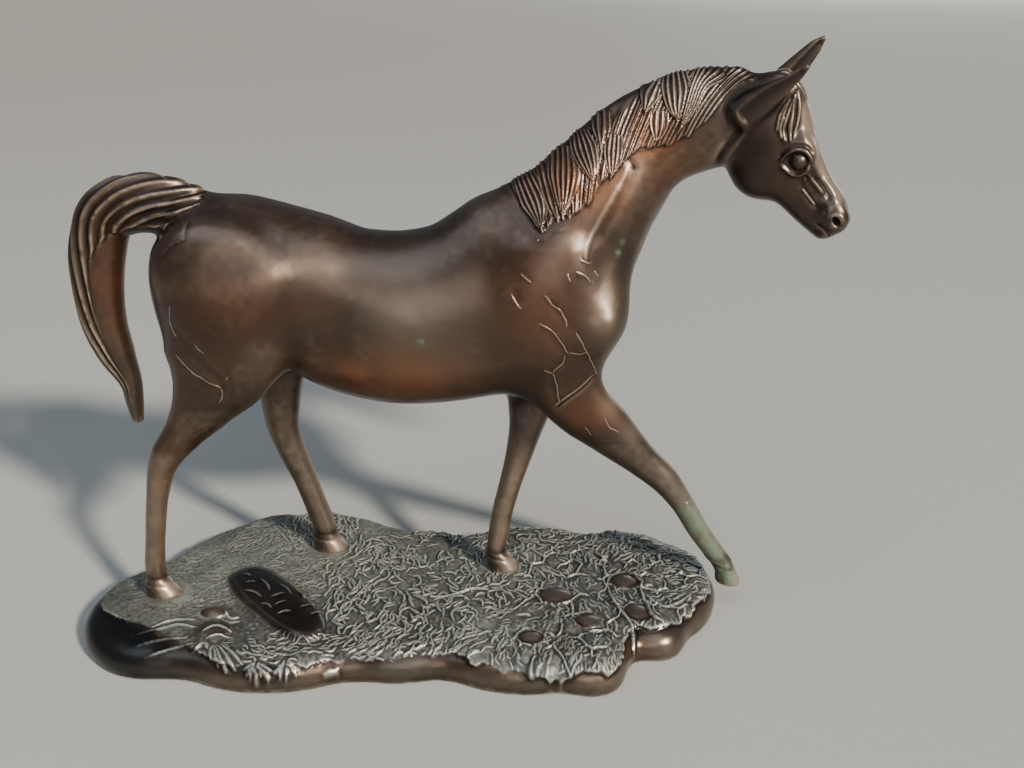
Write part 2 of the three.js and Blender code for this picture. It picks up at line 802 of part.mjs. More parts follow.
class Thinner {
  constructor({ points, faces }, care) {
    this.points = Float64Array.from(points);
    this.faces = Int32Array.from(faces);
    this.care = care;
    this.live = faces.length / 3;
    this.slimmest = 0.02;
    const vertexCount = points.length / 3;
    this.around = Array.from({ length: vertexCount }, () => []);
    this.quadrics = new Float64Array(vertexCount * 10);
    this.stamps = new Int32Array(vertexCount);
    this.heap = new EdgeHeap();
    for (let f = 0; f < this.live; f += 1) {
      const corners = this.corners(f);
      corners.forEach((v) => this.around[v].push(f));
      this.addPlane(f, corners);
    }
  }

  corners(f) {
    return [this.faces[3 * f], this.faces[3 * f + 1], this.faces[3 * f + 2]];
  }

  // Twice the face's area, along its normal, with one corner moved if asked
  normal(f, moved = -1, to = null) {
    const p = this.points;
    const at = (v, axis) => (v === moved ? to[axis] : p[3 * v + axis]);
    const [a, b, c] = this.corners(f);
    const [ux, uy, uz] = [0, 1, 2].map((axis) => at(b, axis) - at(a, axis));
    const [vx, vy, vz] = [0, 1, 2].map((axis) => at(c, axis) - at(a, axis));
    return [uy * vz - uz * vy, uz * vx - ux * vz, ux * vy - uy * vx];
  }

  addPlane(f, corners) {
    const n = this.normal(f);
    const area = Math.hypot(...n);
    if (area < 1e-12) {
      return;
    }
    const [a, b, c] = n.map((value) => value / area);
    const v = 3 * corners[0];
    const d = -(a * this.points[v] + b * this.points[v + 1] + c * this.points[v + 2]);
    const terms = [a * a, a * b, a * c, a * d, b * b, b * c, b * d, c * c, c * d, d * d];
    for (const corner of corners) {
      terms.forEach((term, i) => {
        this.quadrics[10 * corner + i] += term * area;
      });
    }
  }

  neighbours(v) {
    const found = new Set();
    for (const f of this.around[v]) {
      this.corners(f).forEach((corner) => found.add(corner));
    }
    found.delete(v);
    return found;
  }

  offer(a, b) {
    const q = new Array(10);
    for (let i = 0; i < 10; i += 1) {
      q[i] = this.quadrics[10 * a + i] + this.quadrics[10 * b + i];
    }
    const p = this.points;
    const middle = [0, 1, 2].map((axis) => (p[3 * a + axis] + p[3 * b + axis]) / 2);
    const length = Math.hypot(p[3 * a] - p[3 * b], p[3 * a + 1] - p[3 * b + 1], p[3 * a + 2] - p[3 * b + 2]);
    const error = ([x, y, z]) => q[0] * x * x + 2 * q[1] * x * y + 2 * q[2] * x * z + 2 * q[3] * x
      + q[4] * y * y + 2 * q[5] * y * z + 2 * q[6] * y + q[7] * z * z + 2 * q[8] * z + q[9];
    const best = this.lowestPoint(q, middle);
    const far = Math.hypot(best[0] - middle[0], best[1] - middle[1], best[2] - middle[2]) > 0.8 * length;
    const to = far ? middle : best;
    const cost = (Math.max(error(to), 0) + 4e-4 * length ** 4) * this.care(to);
    this.heap.push({ cost, a, b, to, stamp: this.stamps[a] + this.stamps[b], tries: 0 });
  }

  // Where the two ends' planes are best met, held lightly to the middle of the edge
  lowestPoint(q, middle) {
    const hold = 1e-3 * (q[0] + q[4] + q[7]);
    const [a, b, c] = [q[0] + hold, q[1], q[2]];
    const [d, e, f] = [q[4] + hold, q[5], q[7] + hold];
    const r = [hold * middle[0] - q[3], hold * middle[1] - q[6], hold * middle[2] - q[8]];
    const [m0, m1, m2] = [d * f - e * e, c * e - b * f, b * e - c * d];
    const whole = a * m0 + b * m1 + c * m2;
    if (Math.abs(whole) < 1e-14) {
      return middle;
    }
    const [m4, m5, m8] = [a * f - c * c, b * c - a * e, a * d - b * b];
    return [
      (m0 * r[0] + m1 * r[1] + m2 * r[2]) / whole,
      (m1 * r[0] + m4 * r[1] + m5 * r[2]) / whole,
      (m2 * r[0] + m5 * r[1] + m8 * r[2]) / whole,
    ];
  }

  // A fold is sound if it keeps the skin whole and turns no face over or into a sliver.
  sound(a, b, to) {
    const nearB = this.neighbours(b);
    let common = 0;
    for (const v of this.neighbours(a)) {
      common += nearB.has(v) ? 1 : 0;
    }
    if (common !== 2) {
      return false;
    }
    for (const [moved, other] of [[a, b], [b, a]]) {
      for (const f of this.around[moved]) {
        const corners = this.corners(f);
        if (corners.includes(other)) {
          continue;
        }
        const before = this.normal(f);
        const after = this.normal(f, moved, to);
        const [sizeBefore, sizeAfter] = [Math.hypot(...before), Math.hypot(...after)];
        const dot = before[0] * after[0] + before[1] * after[1] + before[2] * after[2];
        const [p, q] = corners.filter((v) => v !== moved).map((v) => this.points.subarray(3 * v, 3 * v + 3));
        const longest = Math.max(
          Math.hypot(p[0] - q[0], p[1] - q[1], p[2] - q[2]),
          Math.hypot(p[0] - to[0], p[1] - to[1], p[2] - to[2]),
          Math.hypot(q[0] - to[0], q[1] - to[1], q[2] - to[2]));
        if (dot < 0.2 * sizeBefore * sizeAfter || sizeAfter < this.slimmest * longest * longest) {
          return false;
        }
      }
    }
    return true;
  }

  fold(a, b, to) {
    this.points.set(to, 3 * a);
    for (let i = 0; i < 10; i += 1) {
      this.quadrics[10 * a + i] += this.quadrics[10 * b + i];
    }
    for (const f of this.around[b]) {
      const corners = this.corners(f);
      if (corners.includes(a)) {
        this.faces[3 * f] = -1;
        this.live -= 1;
        corners.filter((v) => v !== b).forEach((v) => {
          this.around[v] = this.around[v].filter((other) => other !== f);
        });
      } else {
        this.faces[3 * f + corners.indexOf(b)] = a;
        this.around[a].push(f);
      }
    }
    this.around[b] = [];
    this.stamps[b] = -1e9;
    this.stamps[a] += 1;
    for (const v of this.neighbours(a)) {
      this.offer(a, v);
    }
  }

  // Each round allows slimmer faces than the last, until the count is reached.
  thin(target) {
    for (let round = 0; this.live > target && round < 6; round += 1) {
      for (let v = 0; v < this.around.length; v += 1) {
        for (const other of this.neighbours(v)) {
          if (v < other) {
            this.offer(v, other);
          }
        }
      }
      while (this.live > target && this.heap.items.length > 0) {
        const fold = this.heap.pop();
        const { a, b, to, stamp } = fold;
        if (stamp !== this.stamps[a] + this.stamps[b]) {
          continue;
        }
        if (this.sound(a, b, to)) {
          this.fold(a, b, to);
        } else if (fold.tries < 5) {
          this.heap.push({ ...fold, cost: fold.cost * 2, tries: fold.tries + 1 });
        }
      }
      this.slimmest *= 0.6;
    }
  }

  geometry() {
    const numbers = new Map();
    const positions = [];
    const index = [];
    for (const v of this.faces.filter((_, i) => this.faces[i - (i % 3)] !== -1)) {
      if (!numbers.has(v)) {
        numbers.set(v, positions.length / 3);
        const height = this.points[3 * v + 2];
        positions.push(this.points[3 * v], this.points[3 * v + 1], Math.abs(height) < 0.05 ? 0 : height);
      }
      index.push(numbers.get(v));
    }
    const geometry = new THREE.BufferGeometry();
    geometry.setAttribute('position', new THREE.Float32BufferAttribute(positions, 3));
    geometry.setIndex(index);
    geometry.computeVertexNormals();
    return geometry;
  }
}

function sculpt(field, low, high, cell, faceCount, care) {
  const thinner = new Thinner(largestBody(meshField(field, low, high, cell)), care);
  thinner.thin(faceCount);
  return thinner.geometry();
}

// The head and the tail's strands are read closely, so they keep more faces than the body.
function horseCare([x, , z]) {
  if (x > 120 && z > 190) {
    return 5;
  }
  return x < -120 && z > 178 ? 2.5 : 1;
}

const horseBronze = new THREE.MeshStandardMaterial({ color: 0x4a3526, roughness: 0.34, metalness: 0.9 });
const plinthBronze = new THREE.MeshStandardMaterial({ color: 0x5a4a3c, roughness: 0.5, metalness: 0.8 });

const horse = new THREE.Mesh(
  sculpt(horseField, [-184, -34, 11], [190, 48, 290], HORSE_CELL, HORSE_FACES, horseCare), horseBronze);
horse.name = 'horse';

const plinth = new THREE.Mesh(
  sculpt(plinthField, [-186, -80, -1], [146, 80, 27], PLINTH_CELL, PLINTH_FACES, () => 1), plinthBronze);
plinth.name = 'plinth';

const sculpture = new THREE.Group();
sculpture.add(horse, plinth);

export default sculpture;
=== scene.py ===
"""Dresses the cast bronze horse and its ground plinth.

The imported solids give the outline. Each is copied, meshed finely, laid on the smooth form that it
was modelled from, and then carved: mane, tail, face and skin creases on the horse, and grass,
stones and leaves on the plinth. Lengths are in millimetres until a mesh is written.
"""
import logging
import math
from abc import ABC, abstractmethod
from dataclasses import dataclass, field
from enum import Enum
from typing import Callable, Sequence, Union

import bmesh
import bpy
import numpy as np
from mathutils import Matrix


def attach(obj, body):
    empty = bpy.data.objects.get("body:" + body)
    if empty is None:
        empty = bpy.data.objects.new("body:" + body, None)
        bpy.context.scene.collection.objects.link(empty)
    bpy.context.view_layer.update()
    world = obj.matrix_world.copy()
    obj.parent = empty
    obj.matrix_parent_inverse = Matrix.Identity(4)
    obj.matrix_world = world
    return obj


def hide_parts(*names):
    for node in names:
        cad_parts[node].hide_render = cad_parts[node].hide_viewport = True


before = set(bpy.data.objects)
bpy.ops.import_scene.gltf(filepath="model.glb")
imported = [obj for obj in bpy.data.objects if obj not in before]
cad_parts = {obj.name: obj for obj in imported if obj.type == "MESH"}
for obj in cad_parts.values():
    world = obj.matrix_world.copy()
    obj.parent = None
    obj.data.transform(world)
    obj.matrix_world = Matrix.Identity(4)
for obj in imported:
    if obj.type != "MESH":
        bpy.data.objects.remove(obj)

Array = np.ndarray
Points = Sequence[Sequence[float]]
Colour = tuple[float, float, float]

MM = 0.001
REACH = 16.0
MIDLINE = 7.0
SOLE_HEIGHT = 17.6
TOE_HEIGHT = 13.6
PIECE_FACES = 197_000
SAME_PLACE = 1e-6
GRASS_SEED = 7158
TUFT_SEED = 331
CLOD_SEED = 52
WAVES = (127.1, 311.7, 74.7)
WAVE_HEIGHT = 43758.5453
SEED_STEP = 17.3

log = logging.getLogger("bronze_horse")


# Joins, fades and scatter


def smooth_min(a: Array, b: Array, blend: float) -> Array:
    """The smaller of two distances, melted together over a width.

    Args:
        a: The first distances.
        b: The second distances.
        blend: The width of the melt.

    Returns:
        The joined distances.
    """
    if blend <= 0:
        return np.minimum(a, b)
    h = np.maximum(blend - np.abs(a - b), 0) / blend
    return np.minimum(a, b) - h * h * blend * 0.25


def smooth_max(a: Array, b: Array, blend: float) -> Array:
    """The larger of two distances, melted together over a width."""
    return -smooth_min(-a, -b, blend)


def bell(distance: Array, width: float) -> Array:
    """A bell curve of height one and the given half width."""
    return np.exp(-((distance / width) ** 2))


def fade(value: Array, start: float, end: float) -> Array:
    """Nought before start, one after end, and smooth between. The end may lie before the start."""
    w = np.clip((value - start) / (end - start), 0, 1)
    return w * w * (3 - 2 * w)


def bearing(degrees: float) -> tuple[float, float]:
    """The cosine and sine of an angle."""
    return math.cos(math.radians(degrees)), math.sin(math.radians(degrees))


def blots(points: Array, spots: Points) -> Array:
    """Soft spots on the work, drawn in the side view.

    Args:
        points: Places on the skin.
        spots: The x, z, half length, half height and strength of each spot.

    Returns:
        One row for each spot, with one value for each place.
    """
    x, _, z = points.T
    return np.stack([
        share * bell(np.hypot((x - px) / long, (z - pz) / tall), 1)
        for px, pz, long, tall, share in spots
    ])


def settle(distance: Callable[[Array], Array], points: Array, rounds: int) -> Array:
    """Moves points onto a skin.

    Args:
        distance: Gives the distance of places from the skin.
        points: Places close to the skin.
        rounds: How many times each is moved.

    Returns:
        The moved places.
    """
    points = points.copy()
    probe, least_steep, longest_move = 0.06, 0.15, 1.2
    for _ in range(rounds):
        here = distance(points)
        slope = np.empty_like(points)
        for axis in range(3):
            aside = points.copy()
            aside[:, axis] += probe
            slope[:, axis] = (distance(aside) - here) / probe
        steep = np.maximum((slope ** 2).sum(1), least_steep)
        move = -slope * (here / steep)[:, None]
        length = np.linalg.norm(move, axis=1, keepdims=True)
        points += move * np.minimum(1, longest_move / np.maximum(length, 1e-9))
    return points


def scatter(index: Array) -> Array:
    """Values between 0 and 1 that are always the same for the same whole numbers."""
    wave = np.sin(np.asarray(index, float) * WAVES[0] + WAVES[1]) * WAVE_HEIGHT
    return wave - np.floor(wave)


def crumble(points: Array, size: float, seed: float = 0.0) -> Array:
    """Smooth lumps between -1 and 1.

    Args:
        points: Places, of two or three coordinates.
        size: How far the lumps are apart.
        seed: Moves the pattern.

    Returns:
        One value for each place.
    """
    scaled = points / size + seed * SEED_STEP
    base = np.floor(scaled)
    w = scaled - base
    w = w * w * (3 - 2 * w)
    dims = points.shape[1]
    total = np.zeros(len(points))
    for corner in range(2 ** dims):
        offset = np.array([(corner >> axis) & 1 for axis in range(dims)], float)
        cell = base + offset
        wave = np.sin(cell @ np.array(WAVES)[:dims]) * WAVE_HEIGHT
        weight = np.prod(np.where(offset > 0, w, 1 - w), axis=1)
        total += weight * (wave - np.floor(wave))
    return total * 2 - 1


def smooth_line(points: Points, places: Array) -> Array:
    """Points on a smooth line through the given ones.

    Args:
        points: The points that the line passes through.
        places: Where to read it, from 0 at its start to 1 at its end.

    Returns:
        One row for each place.
    """
    p = np.asarray(points, float)
    ends = np.vstack([2 * p[0] - p[1], p, 2 * p[-1] - p[-2]])
    scaled = np.asarray(places, float) * (len(p) - 1)
    i = np.minimum(scaled.astype(int), len(p) - 2)
    w = (scaled - i)[:, None]
    x0, x1, x2, x3 = ends[i], ends[i + 1], ends[i + 2], ends[i + 3]

    def stride(a: Array, b: Array) -> Array:
        """The square root of the distance between two points of each row."""
        return ((a - b) ** 2).sum(1, keepdims=True) ** 0.25

    nought = 1e-4
    d1 = stride(x1, x2)
    d1 = np.where(d1 < nought, 1.0, d1)
    d0, d2 = stride(x0, x1), stride(x2, x3)
    d0, d2 = np.where(d0 < nought, d1, d0), np.where(d2 < nought, d1, d2)
    t1 = ((x1 - x0) / d0 - (x2 - x0) / (d0 + d1) + (x2 - x1) / d1) * d1
    t2 = ((x2 - x1) / d1 - (x3 - x1) / (d1 + d2) + (x3 - x2) / d2) * d1
    return x1 + t1 * w + (3 * (x2 - x1) - 2 * t1 - t2) * w ** 2 + (2 * (x1 - x2) + t1 + t2) * w ** 3


def traced(points: Points, count: int) -> Array:
    """A number of points, evenly spaced on a smooth line from its start to its end."""
    return smooth_line(points, np.linspace(0, 1, count))


def nearest_on(line: Array, points: Array) -> tuple[Array, Array, Array]:
    """The nearest place on a line of straight pieces.

    Args:
        line: The corners of the line.
        points: The places to measure from.

    Returns:
        The number of the piece, the part of the way along it, and the distance.
    """
    best = np.full(len(points), np.inf)
    found = np.zeros(len(points), int)
    part = np.zeros(len(points))
    for i in range(len(line) - 1):
        a, e = line[i], line[i + 1] - line[i]
        off = points - a
        w = np.clip(off @ e / max(e @ e, 1e-9), 0, 1)
        gap = ((off - w[:, None] * e) ** 2).sum(1)
        closer = gap < best
        best[closer], found[closer], part[closer] = gap[closer], i, w[closer]
    return found, part, np.sqrt(best)


# Forms: each gives its distance from any point


class Form(ABC):
    """A solid form that is read as a distance, and ignored further off than its reach."""

    low: Array
    high: Array

    @abstractmethod
    def distance(self, points: Array) -> Array:
        """Distances from the form's surface, less than nought inside it."""

    def near(self, points: Array) -> Array:
        """Which of the points lie within reach of the form."""
        return ((points > self.low - REACH) & (points < self.high + REACH)).all(1)


def radial_distance(radius: Array, stretch: Array, smallest: Array | float) -> Array:
    """Distance to an ellipse-like section, along the ray from its middle."""
    return np.where(stretch > 1e-6, radius * (1 - 1 / np.maximum(stretch, 1e-6)), -smallest)


@dataclass
class Roll(Form):
    """A roll laid along a smooth line.

    Attributes:
        stations: x, y, z, half depth and half width of each station.
        cap: How far its ends bulge, as a share of its thickness.
        square: Over 2, its section is squarer.
        egg: Makes the section wider on its deep side.
        across: The direction that the width lies in.
        steps: How many rings there are from one station to the next.
        thinnest: The least half thickness.
    """

    stations: Points
    cap: float = 0.8
    square: float = 2.0
    egg: float = 0.0
    across: Sequence[float] = (0.0, 1.0, 0.0)
    steps: int = 5
    thinnest: float = 0.3

    def __post_init__(self) -> None:
        """Lays the rings along the line."""
        table = np.asarray(self.stations, float)
        places = np.linspace(0, 1, (len(table) - 1) * self.steps + 1)
        self.at = smooth_line(table[:, :3], places)
        nudge = 1e-4
        ahead = smooth_line(table[:, :3], np.minimum(places + nudge, 1))
        behind = smooth_line(table[:, :3], np.maximum(places - nudge, 0))
        self.along = (ahead - behind) / np.linalg.norm(ahead - behind, axis=1, keepdims=True)
        side = np.asarray(self.across, float)
        lateral = side - self.along * (self.along @ side)[:, None]
        self.lateral = lateral / np.linalg.norm(lateral, axis=1, keepdims=True)
        self.deep = np.cross(self.lateral, self.along)
        self.girth = np.maximum(smooth_line(table[:, 3:5], places), self.thinnest)
        widest = self.girth.max()
        self.low, self.high = self.at.min(0) - widest, self.at.max(0) + widest

    def read(self, points: Array) -> tuple[Array, Array, Array, Array, Array]:
        """Where points lie on the roll.

        Args:
            points: The places.

        Returns:
            Run from 0 to 1, offset from the line, and its parts deep, sideways and along.
        """
        index, _, _ = nearest_on(self.at, points)

        def past(ring: Array) -> Array:
            """How far each point lies past the plane of its ring."""
            return ((points - self.at[ring]) * self.along[ring]).sum(1)

        for _ in range(2):
            index = np.clip(index - (past(index) < 0) + (past(index + 1) > 0), 0, len(self.at) - 2)
        before, after = past(index), past(index + 1)
        part = np.clip(before / np.maximum(before - after, 1e-6), 0, 1)
        w = part[:, None]

        def mix(values: Array) -> Array:
            """Values of the rings, blended at each point's place between two of them."""
            return values[index] * (1 - w) + values[index + 1] * w

        off = points - mix(self.at)
        deep, wide, along = ((off * mix(axes)).sum(1) for axes in (self.deep, self.lateral, self.along))
        return (index + part) / (len(self.at) - 1), off, deep, wide, along

    def distance(self, points: Array) -> Array:
        """Distances from the roll's skin.

        Args:
            points: The places.

        Returns:
            The distances.
        """
        run, off, deep, wide, along = self.read(points)
        place = run * (len(self.at) - 1)
        index = np.minimum(place.astype(int), len(self.at) - 2)
        part = (place - index)[:, None]
        girth = self.girth[index] * (1 - part) + self.girth[index + 1] * part
        deep = deep / girth[:, 0]
        wide = wide / (girth[:, 1] * (1 + self.egg * np.clip(deep, -1, 1)))
        smallest = girth.min(1)
        at_end = (run <= 0) | (run >= 1)
        beyond = np.where(at_end, along / (smallest * self.cap), 0)
        power = self.square
        stretch = np.abs(deep) ** power + np.abs(wide) ** power + np.abs(beyond) ** power
        stretch = stretch ** (1 / power)
        return radial_distance(np.linalg.norm(off, axis=1), stretch, smallest)


@dataclass
class Mass(Form):
    """A rounded mass: a centre, three half sizes and the directions they lie in."""

    centre: Sequence[float]
    sizes: Sequence[float]
    directions: Points
    power: float = 2.0

    def __post_init__(self) -> None:
        """Finds the box that the mass fills."""
        self.low = np.asarray(self.centre, float) - max(self.sizes)
        self.high = np.asarray(self.centre, float) + max(self.sizes)

    def distance(self, points: Array) -> Array:
        """Distances from the mass's skin.

        Args:
            points: The places.

        Returns:
            The distances.
        """
        off = points - np.asarray(self.centre, float)
        parts = np.abs(off @ np.asarray(self.directions, float).T / np.asarray(self.sizes, float))
        stretch = (parts ** self.power).sum(1) ** (1 / self.power)
        return radial_distance(np.linalg.norm(off, axis=1), stretch, min(self.sizes))


@dataclass
class Hoof(Form):
    """A cone of oval section, flat at its sole, with the coronet set back from the toe.

    Attributes:
        x: Its middle in x.
        y: Its middle in y.
        sole: Height of its sole.
        length: Its half length.
        width: Its half width.
        height: Height of its wall.
        slope: How steeply its sole rises towards the toe.
        forward: How far its sole lies before the middle, as a share of its length.
        set_back: How far its top lies behind its sole, as a share of its length.
        narrower: How much shorter and narrower it gets up to its top, as shares.
        round_top: How widely its top edge is rounded.
    """

    x: float
    y: float
    sole: float
    length: float
    width: float
    height: float
    slope: float = 0.0
    forward: float = 0.12
    set_back: float = 0.42
    narrower: tuple[float, float] = (0.3, 0.24)
    round_top: float = 3.0

    def __post_init__(self) -> None:
        """Finds the box that the hoof fills."""
        self.low = np.array([self.x - self.length, self.y - self.length, self.sole - 2])
        self.high = np.array([self.x + self.length, self.y + self.length, self.sole + self.height])

    def tread(self, points: Array) -> Array:
        """Height of the sole's plane under each point."""
        return self.sole + self.slope * (points[:, 0] - self.x)

    def distance(self, points: Array) -> Array:
        """Distances from the hoof's wall and sole.

        Args:
            points: The places.

        Returns:
            The distances.
        """
        forward, sideways = points[:, 0] - self.x, points[:, 1] - self.y
        above = points[:, 2] - self.tread(points)
        rise = np.clip(above / self.height, -0.3, 1.3)
        shift = self.length * (self.forward - self.set_back * rise)
        shorter, narrower = self.narrower
        long, wide = self.length * (1 - shorter * rise), self.width * (1 - narrower * rise)
        radius = np.hypot(forward - shift, sideways)
        wall = radial_distance(radius, np.hypot((forward - shift) / long, sideways / wide), wide)
        return np.maximum(smooth_max(wall, above - self.height, self.round_top), -above)


def muscle(x: float, y: float, z: float, long: float, wide: float, thick: float, lean: float) -> Mass:
    """A muscle in the side view, whose long axis leans up from level by the given degrees."""
    c, s = bearing(lean)
    return Mass((x, y, z), (long, wide, thick), ((c, 0, s), (-s, 0, c), (0, 1, 0)))


@dataclass(frozen=True)
class HeadFrame:
    """The head's own directions: down the face, forward out of it, and left across it."""

    forehead: tuple[float, float, float] = (152.0, 3.0, 265.0)
    lean: float = 26.8
    turn: float = 17.0

    @property
    def axes(self) -> Array:
        """The three directions, one in each row."""
        (c, s), (tc, ts) = bearing(self.lean), bearing(self.turn)
        return np.array([[tc * s, -ts * s, -c], [tc * c, -ts * c, s], [ts, tc, 0.0]])

    def place(self, spots: Points) -> Array:
        """Turns down, front and left into x, y and z."""
        return np.asarray(self.forehead) + np.atleast_2d(np.asarray(spots, float)) @ self.axes

    def read(self, points: Array) -> Array:
        """Turns x, y and z into down, front and left."""
        return (points - np.asarray(self.forehead)) @ self.axes.T

    def mass(self, down: float, front: float, left: float, sizes: Sequence[float]) -> Mass:
        """A rounded mass on the head, lying in the head's directions."""
        return Mass(self.place((down, front, left))[0], sizes, self.axes)


class Work(Enum):
    """What a form does to the clay."""

    LAY = "lay"
    PRESS = "press"


@dataclass
class Clay:
    """Forms laid on and hollows pressed in, one after another.

    Attributes:
        steps: Each form, the width over which it melts into those before it, and what it does.
    """

    steps: list[tuple[Form, float, Work]] = field(default_factory=list)

    def add(self, form: Form, blend: float) -> None:
        """Lays a form on."""
        self.steps.append((form, blend, Work.LAY))

    def press(self, form: Form, blend: float) -> None:
        """Presses a form in."""
        self.steps.append((form, blend, Work.PRESS))

    def distance(self, points: Array) -> Array:
        """Distances from the skin of the whole. The hooves' soles are cut flat last.

        Args:
            points: The places.

        Returns:
            One distance for each place.
        """
        total = np.full(len(points), REACH)
        for form, blend, work in self.steps:
            near = form.near(points)
            if not near.any():
                continue
            own = form.distance(points[near])
            if work is Work.LAY:
                total[near] = smooth_min(total[near], own, blend)
            else:
                total[near] = smooth_max(total[near], -own, blend)
        for form, _, _ in self.steps:
            if isinstance(form, Hoof):
                near = form.near(points)
                total[near] = np.maximum(total[near], form.tread(points[near]) - points[near, 2])
        return total


# Meshes


class Skin:
    """A mesh that is being carved. Its points are read and written in millimetres."""

    def __init__(self, node: str, name: str, cell: float) -> None:
        """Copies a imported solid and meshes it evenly.

        Args:
            node: The solid's name in the frame.
            name: The new piece's name.
            cell: The size of a face.
        """
        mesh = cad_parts[node].data.copy()
        mesh.name = name
        mesh.materials.clear()
        bm = bmesh.new()
        bm.from_mesh(mesh)
        bmesh.ops.remove_doubles(bm, verts=bm.verts, dist=SAME_PLACE)
        bm.to_mesh(mesh)
        bm.free()
        self.piece = bpy.data.objects.new(name, mesh)
        bpy.context.collection.objects.link(self.piece)
        remesh = self.piece.modifiers.new("even", "REMESH")
        remesh.mode = "VOXEL"
        remesh.voxel_size = cell * MM
        self.apply()

    def apply(self) -> None:
        """Makes the modifiers' result the piece's own mesh."""
        graph = bpy.context.evaluated_depsgraph_get()
        made = bpy.data.meshes.new_from_object(self.piece.evaluated_get(graph))
        old = self.piece.data
        self.piece.modifiers.clear()
        self.piece.data = made
        made.name = old.name
        bpy.data.meshes.remove(old)

    @staticmethod
    def rows(items: bpy.types.bpy_prop_collection, name: str, columns: int, kind: type) -> Array:
        """Reads numbers from the parts of a mesh.

        Args:
            items: The parts.
            name: What is read of each.
            columns: How many numbers that is.
            kind: Their type.

        Returns:
            One row for each part.
        """
        flat = np.empty(len(items) * columns, kind)
        items.foreach_get(name, flat)
        return flat.reshape(-1, columns)

    @property
    def points(self) -> Array:
        """The mesh's points."""
        return self.rows(self.piece.data.vertices, "co", 3, np.float32).astype(float) / MM

    @points.setter
    def points(self, places: Array) -> None:
        """Moves the mesh's points."""
        self.piece.data.vertices.foreach_set("co", (places * MM).astype(np.float32).ravel())
        self.piece.data.update()

    @property
    def normals(self) -> Array:
        """The direction out of the skin at each point."""
        return self.rows(self.piece.data.vertex_normals, "vector", 3, np.float32).astype(float)

    def refine(self, region: Callable[[Array], Array]) -> None:
        """Splits every edge that lies in a region.

        Args:
            region: Says of each point whether it is in the region.
        """
        inside = region(self.points)
        bm = bmesh.new()
        bm.from_mesh(self.piece.data)
        edges = [e for e in bm.edges if inside[e.verts[0].index] and inside[e.verts[1].index]]
        bmesh.ops.subdivide_edges(bm, edges=edges, cuts=1, use_grid_fill=True)
        bm.to_mesh(self.piece.data)
        bm.free()

    def spread(self, values: Array, rounds: int) -> Array:
        """Evens values out over the mesh.

        Args:
            values: One row for each point.
            rounds: How many times each is mixed with its neighbours.

        Returns:
            The evened values.
        """
        a, b = self.rows(self.piece.data.edges, "vertices", 2, np.int32).T
        count = len(self.piece.data.vertices)
        degree = np.maximum(np.bincount(a, minlength=count) + np.bincount(b, minlength=count), 1)
        columns = values.reshape(count, -1)
        for _ in range(rounds):
            mixed = [
                (np.bincount(a, column[b], count) + np.bincount(b, column[a], count)) / degree
                for column in columns.T
            ]
            columns = 0.5 * columns + 0.5 * np.stack(mixed, 1)
        return columns.reshape(values.shape)

    def bulge(self) -> Array:
        """How far each point stands out from its neighbours: ridges over nought, grooves under it."""
        points = self.points
        return ((points - self.spread(points, 3)) * self.normals).sum(1)

    def paint(self, name: str, values: Array) -> None:
        """Stores one value for each point, for the finish to read.

        Args:
            name: What the finish calls them.
            values: The values.
        """
        mesh = self.piece.data
        layer = mesh.attributes.get(name) or mesh.attributes.new(name, "FLOAT", "POINT")
        layer.data.foreach_set("value", np.clip(values, 0, 1).astype(np.float32))

    def thin(self, faces: int) -> None:
        """Folds edges away where the surface is plain, and shades the rest smoothly.

        Args:
            faces: The most triangles that it may have.
        """
        mesh = self.piece.data
        mesh.calc_loop_triangles()
        count = len(mesh.loop_triangles)
        if count > faces:
            decimate = self.piece.modifiers.new("thin", "DECIMATE")
            decimate.ratio = faces / count
            decimate.use_collapse_triangulate = True
            self.apply()
        mesh = self.piece.data
        mesh.polygons.foreach_set("use_smooth", np.ones(len(mesh.polygons), bool))
        mesh.update()


# Finishes


Source = Union[bpy.types.NodeSocket, float, Sequence[float]]


class Join(Enum):
    """How two values are joined."""

    PLUS = "ADD"
    TIMES = "MULTIPLY"


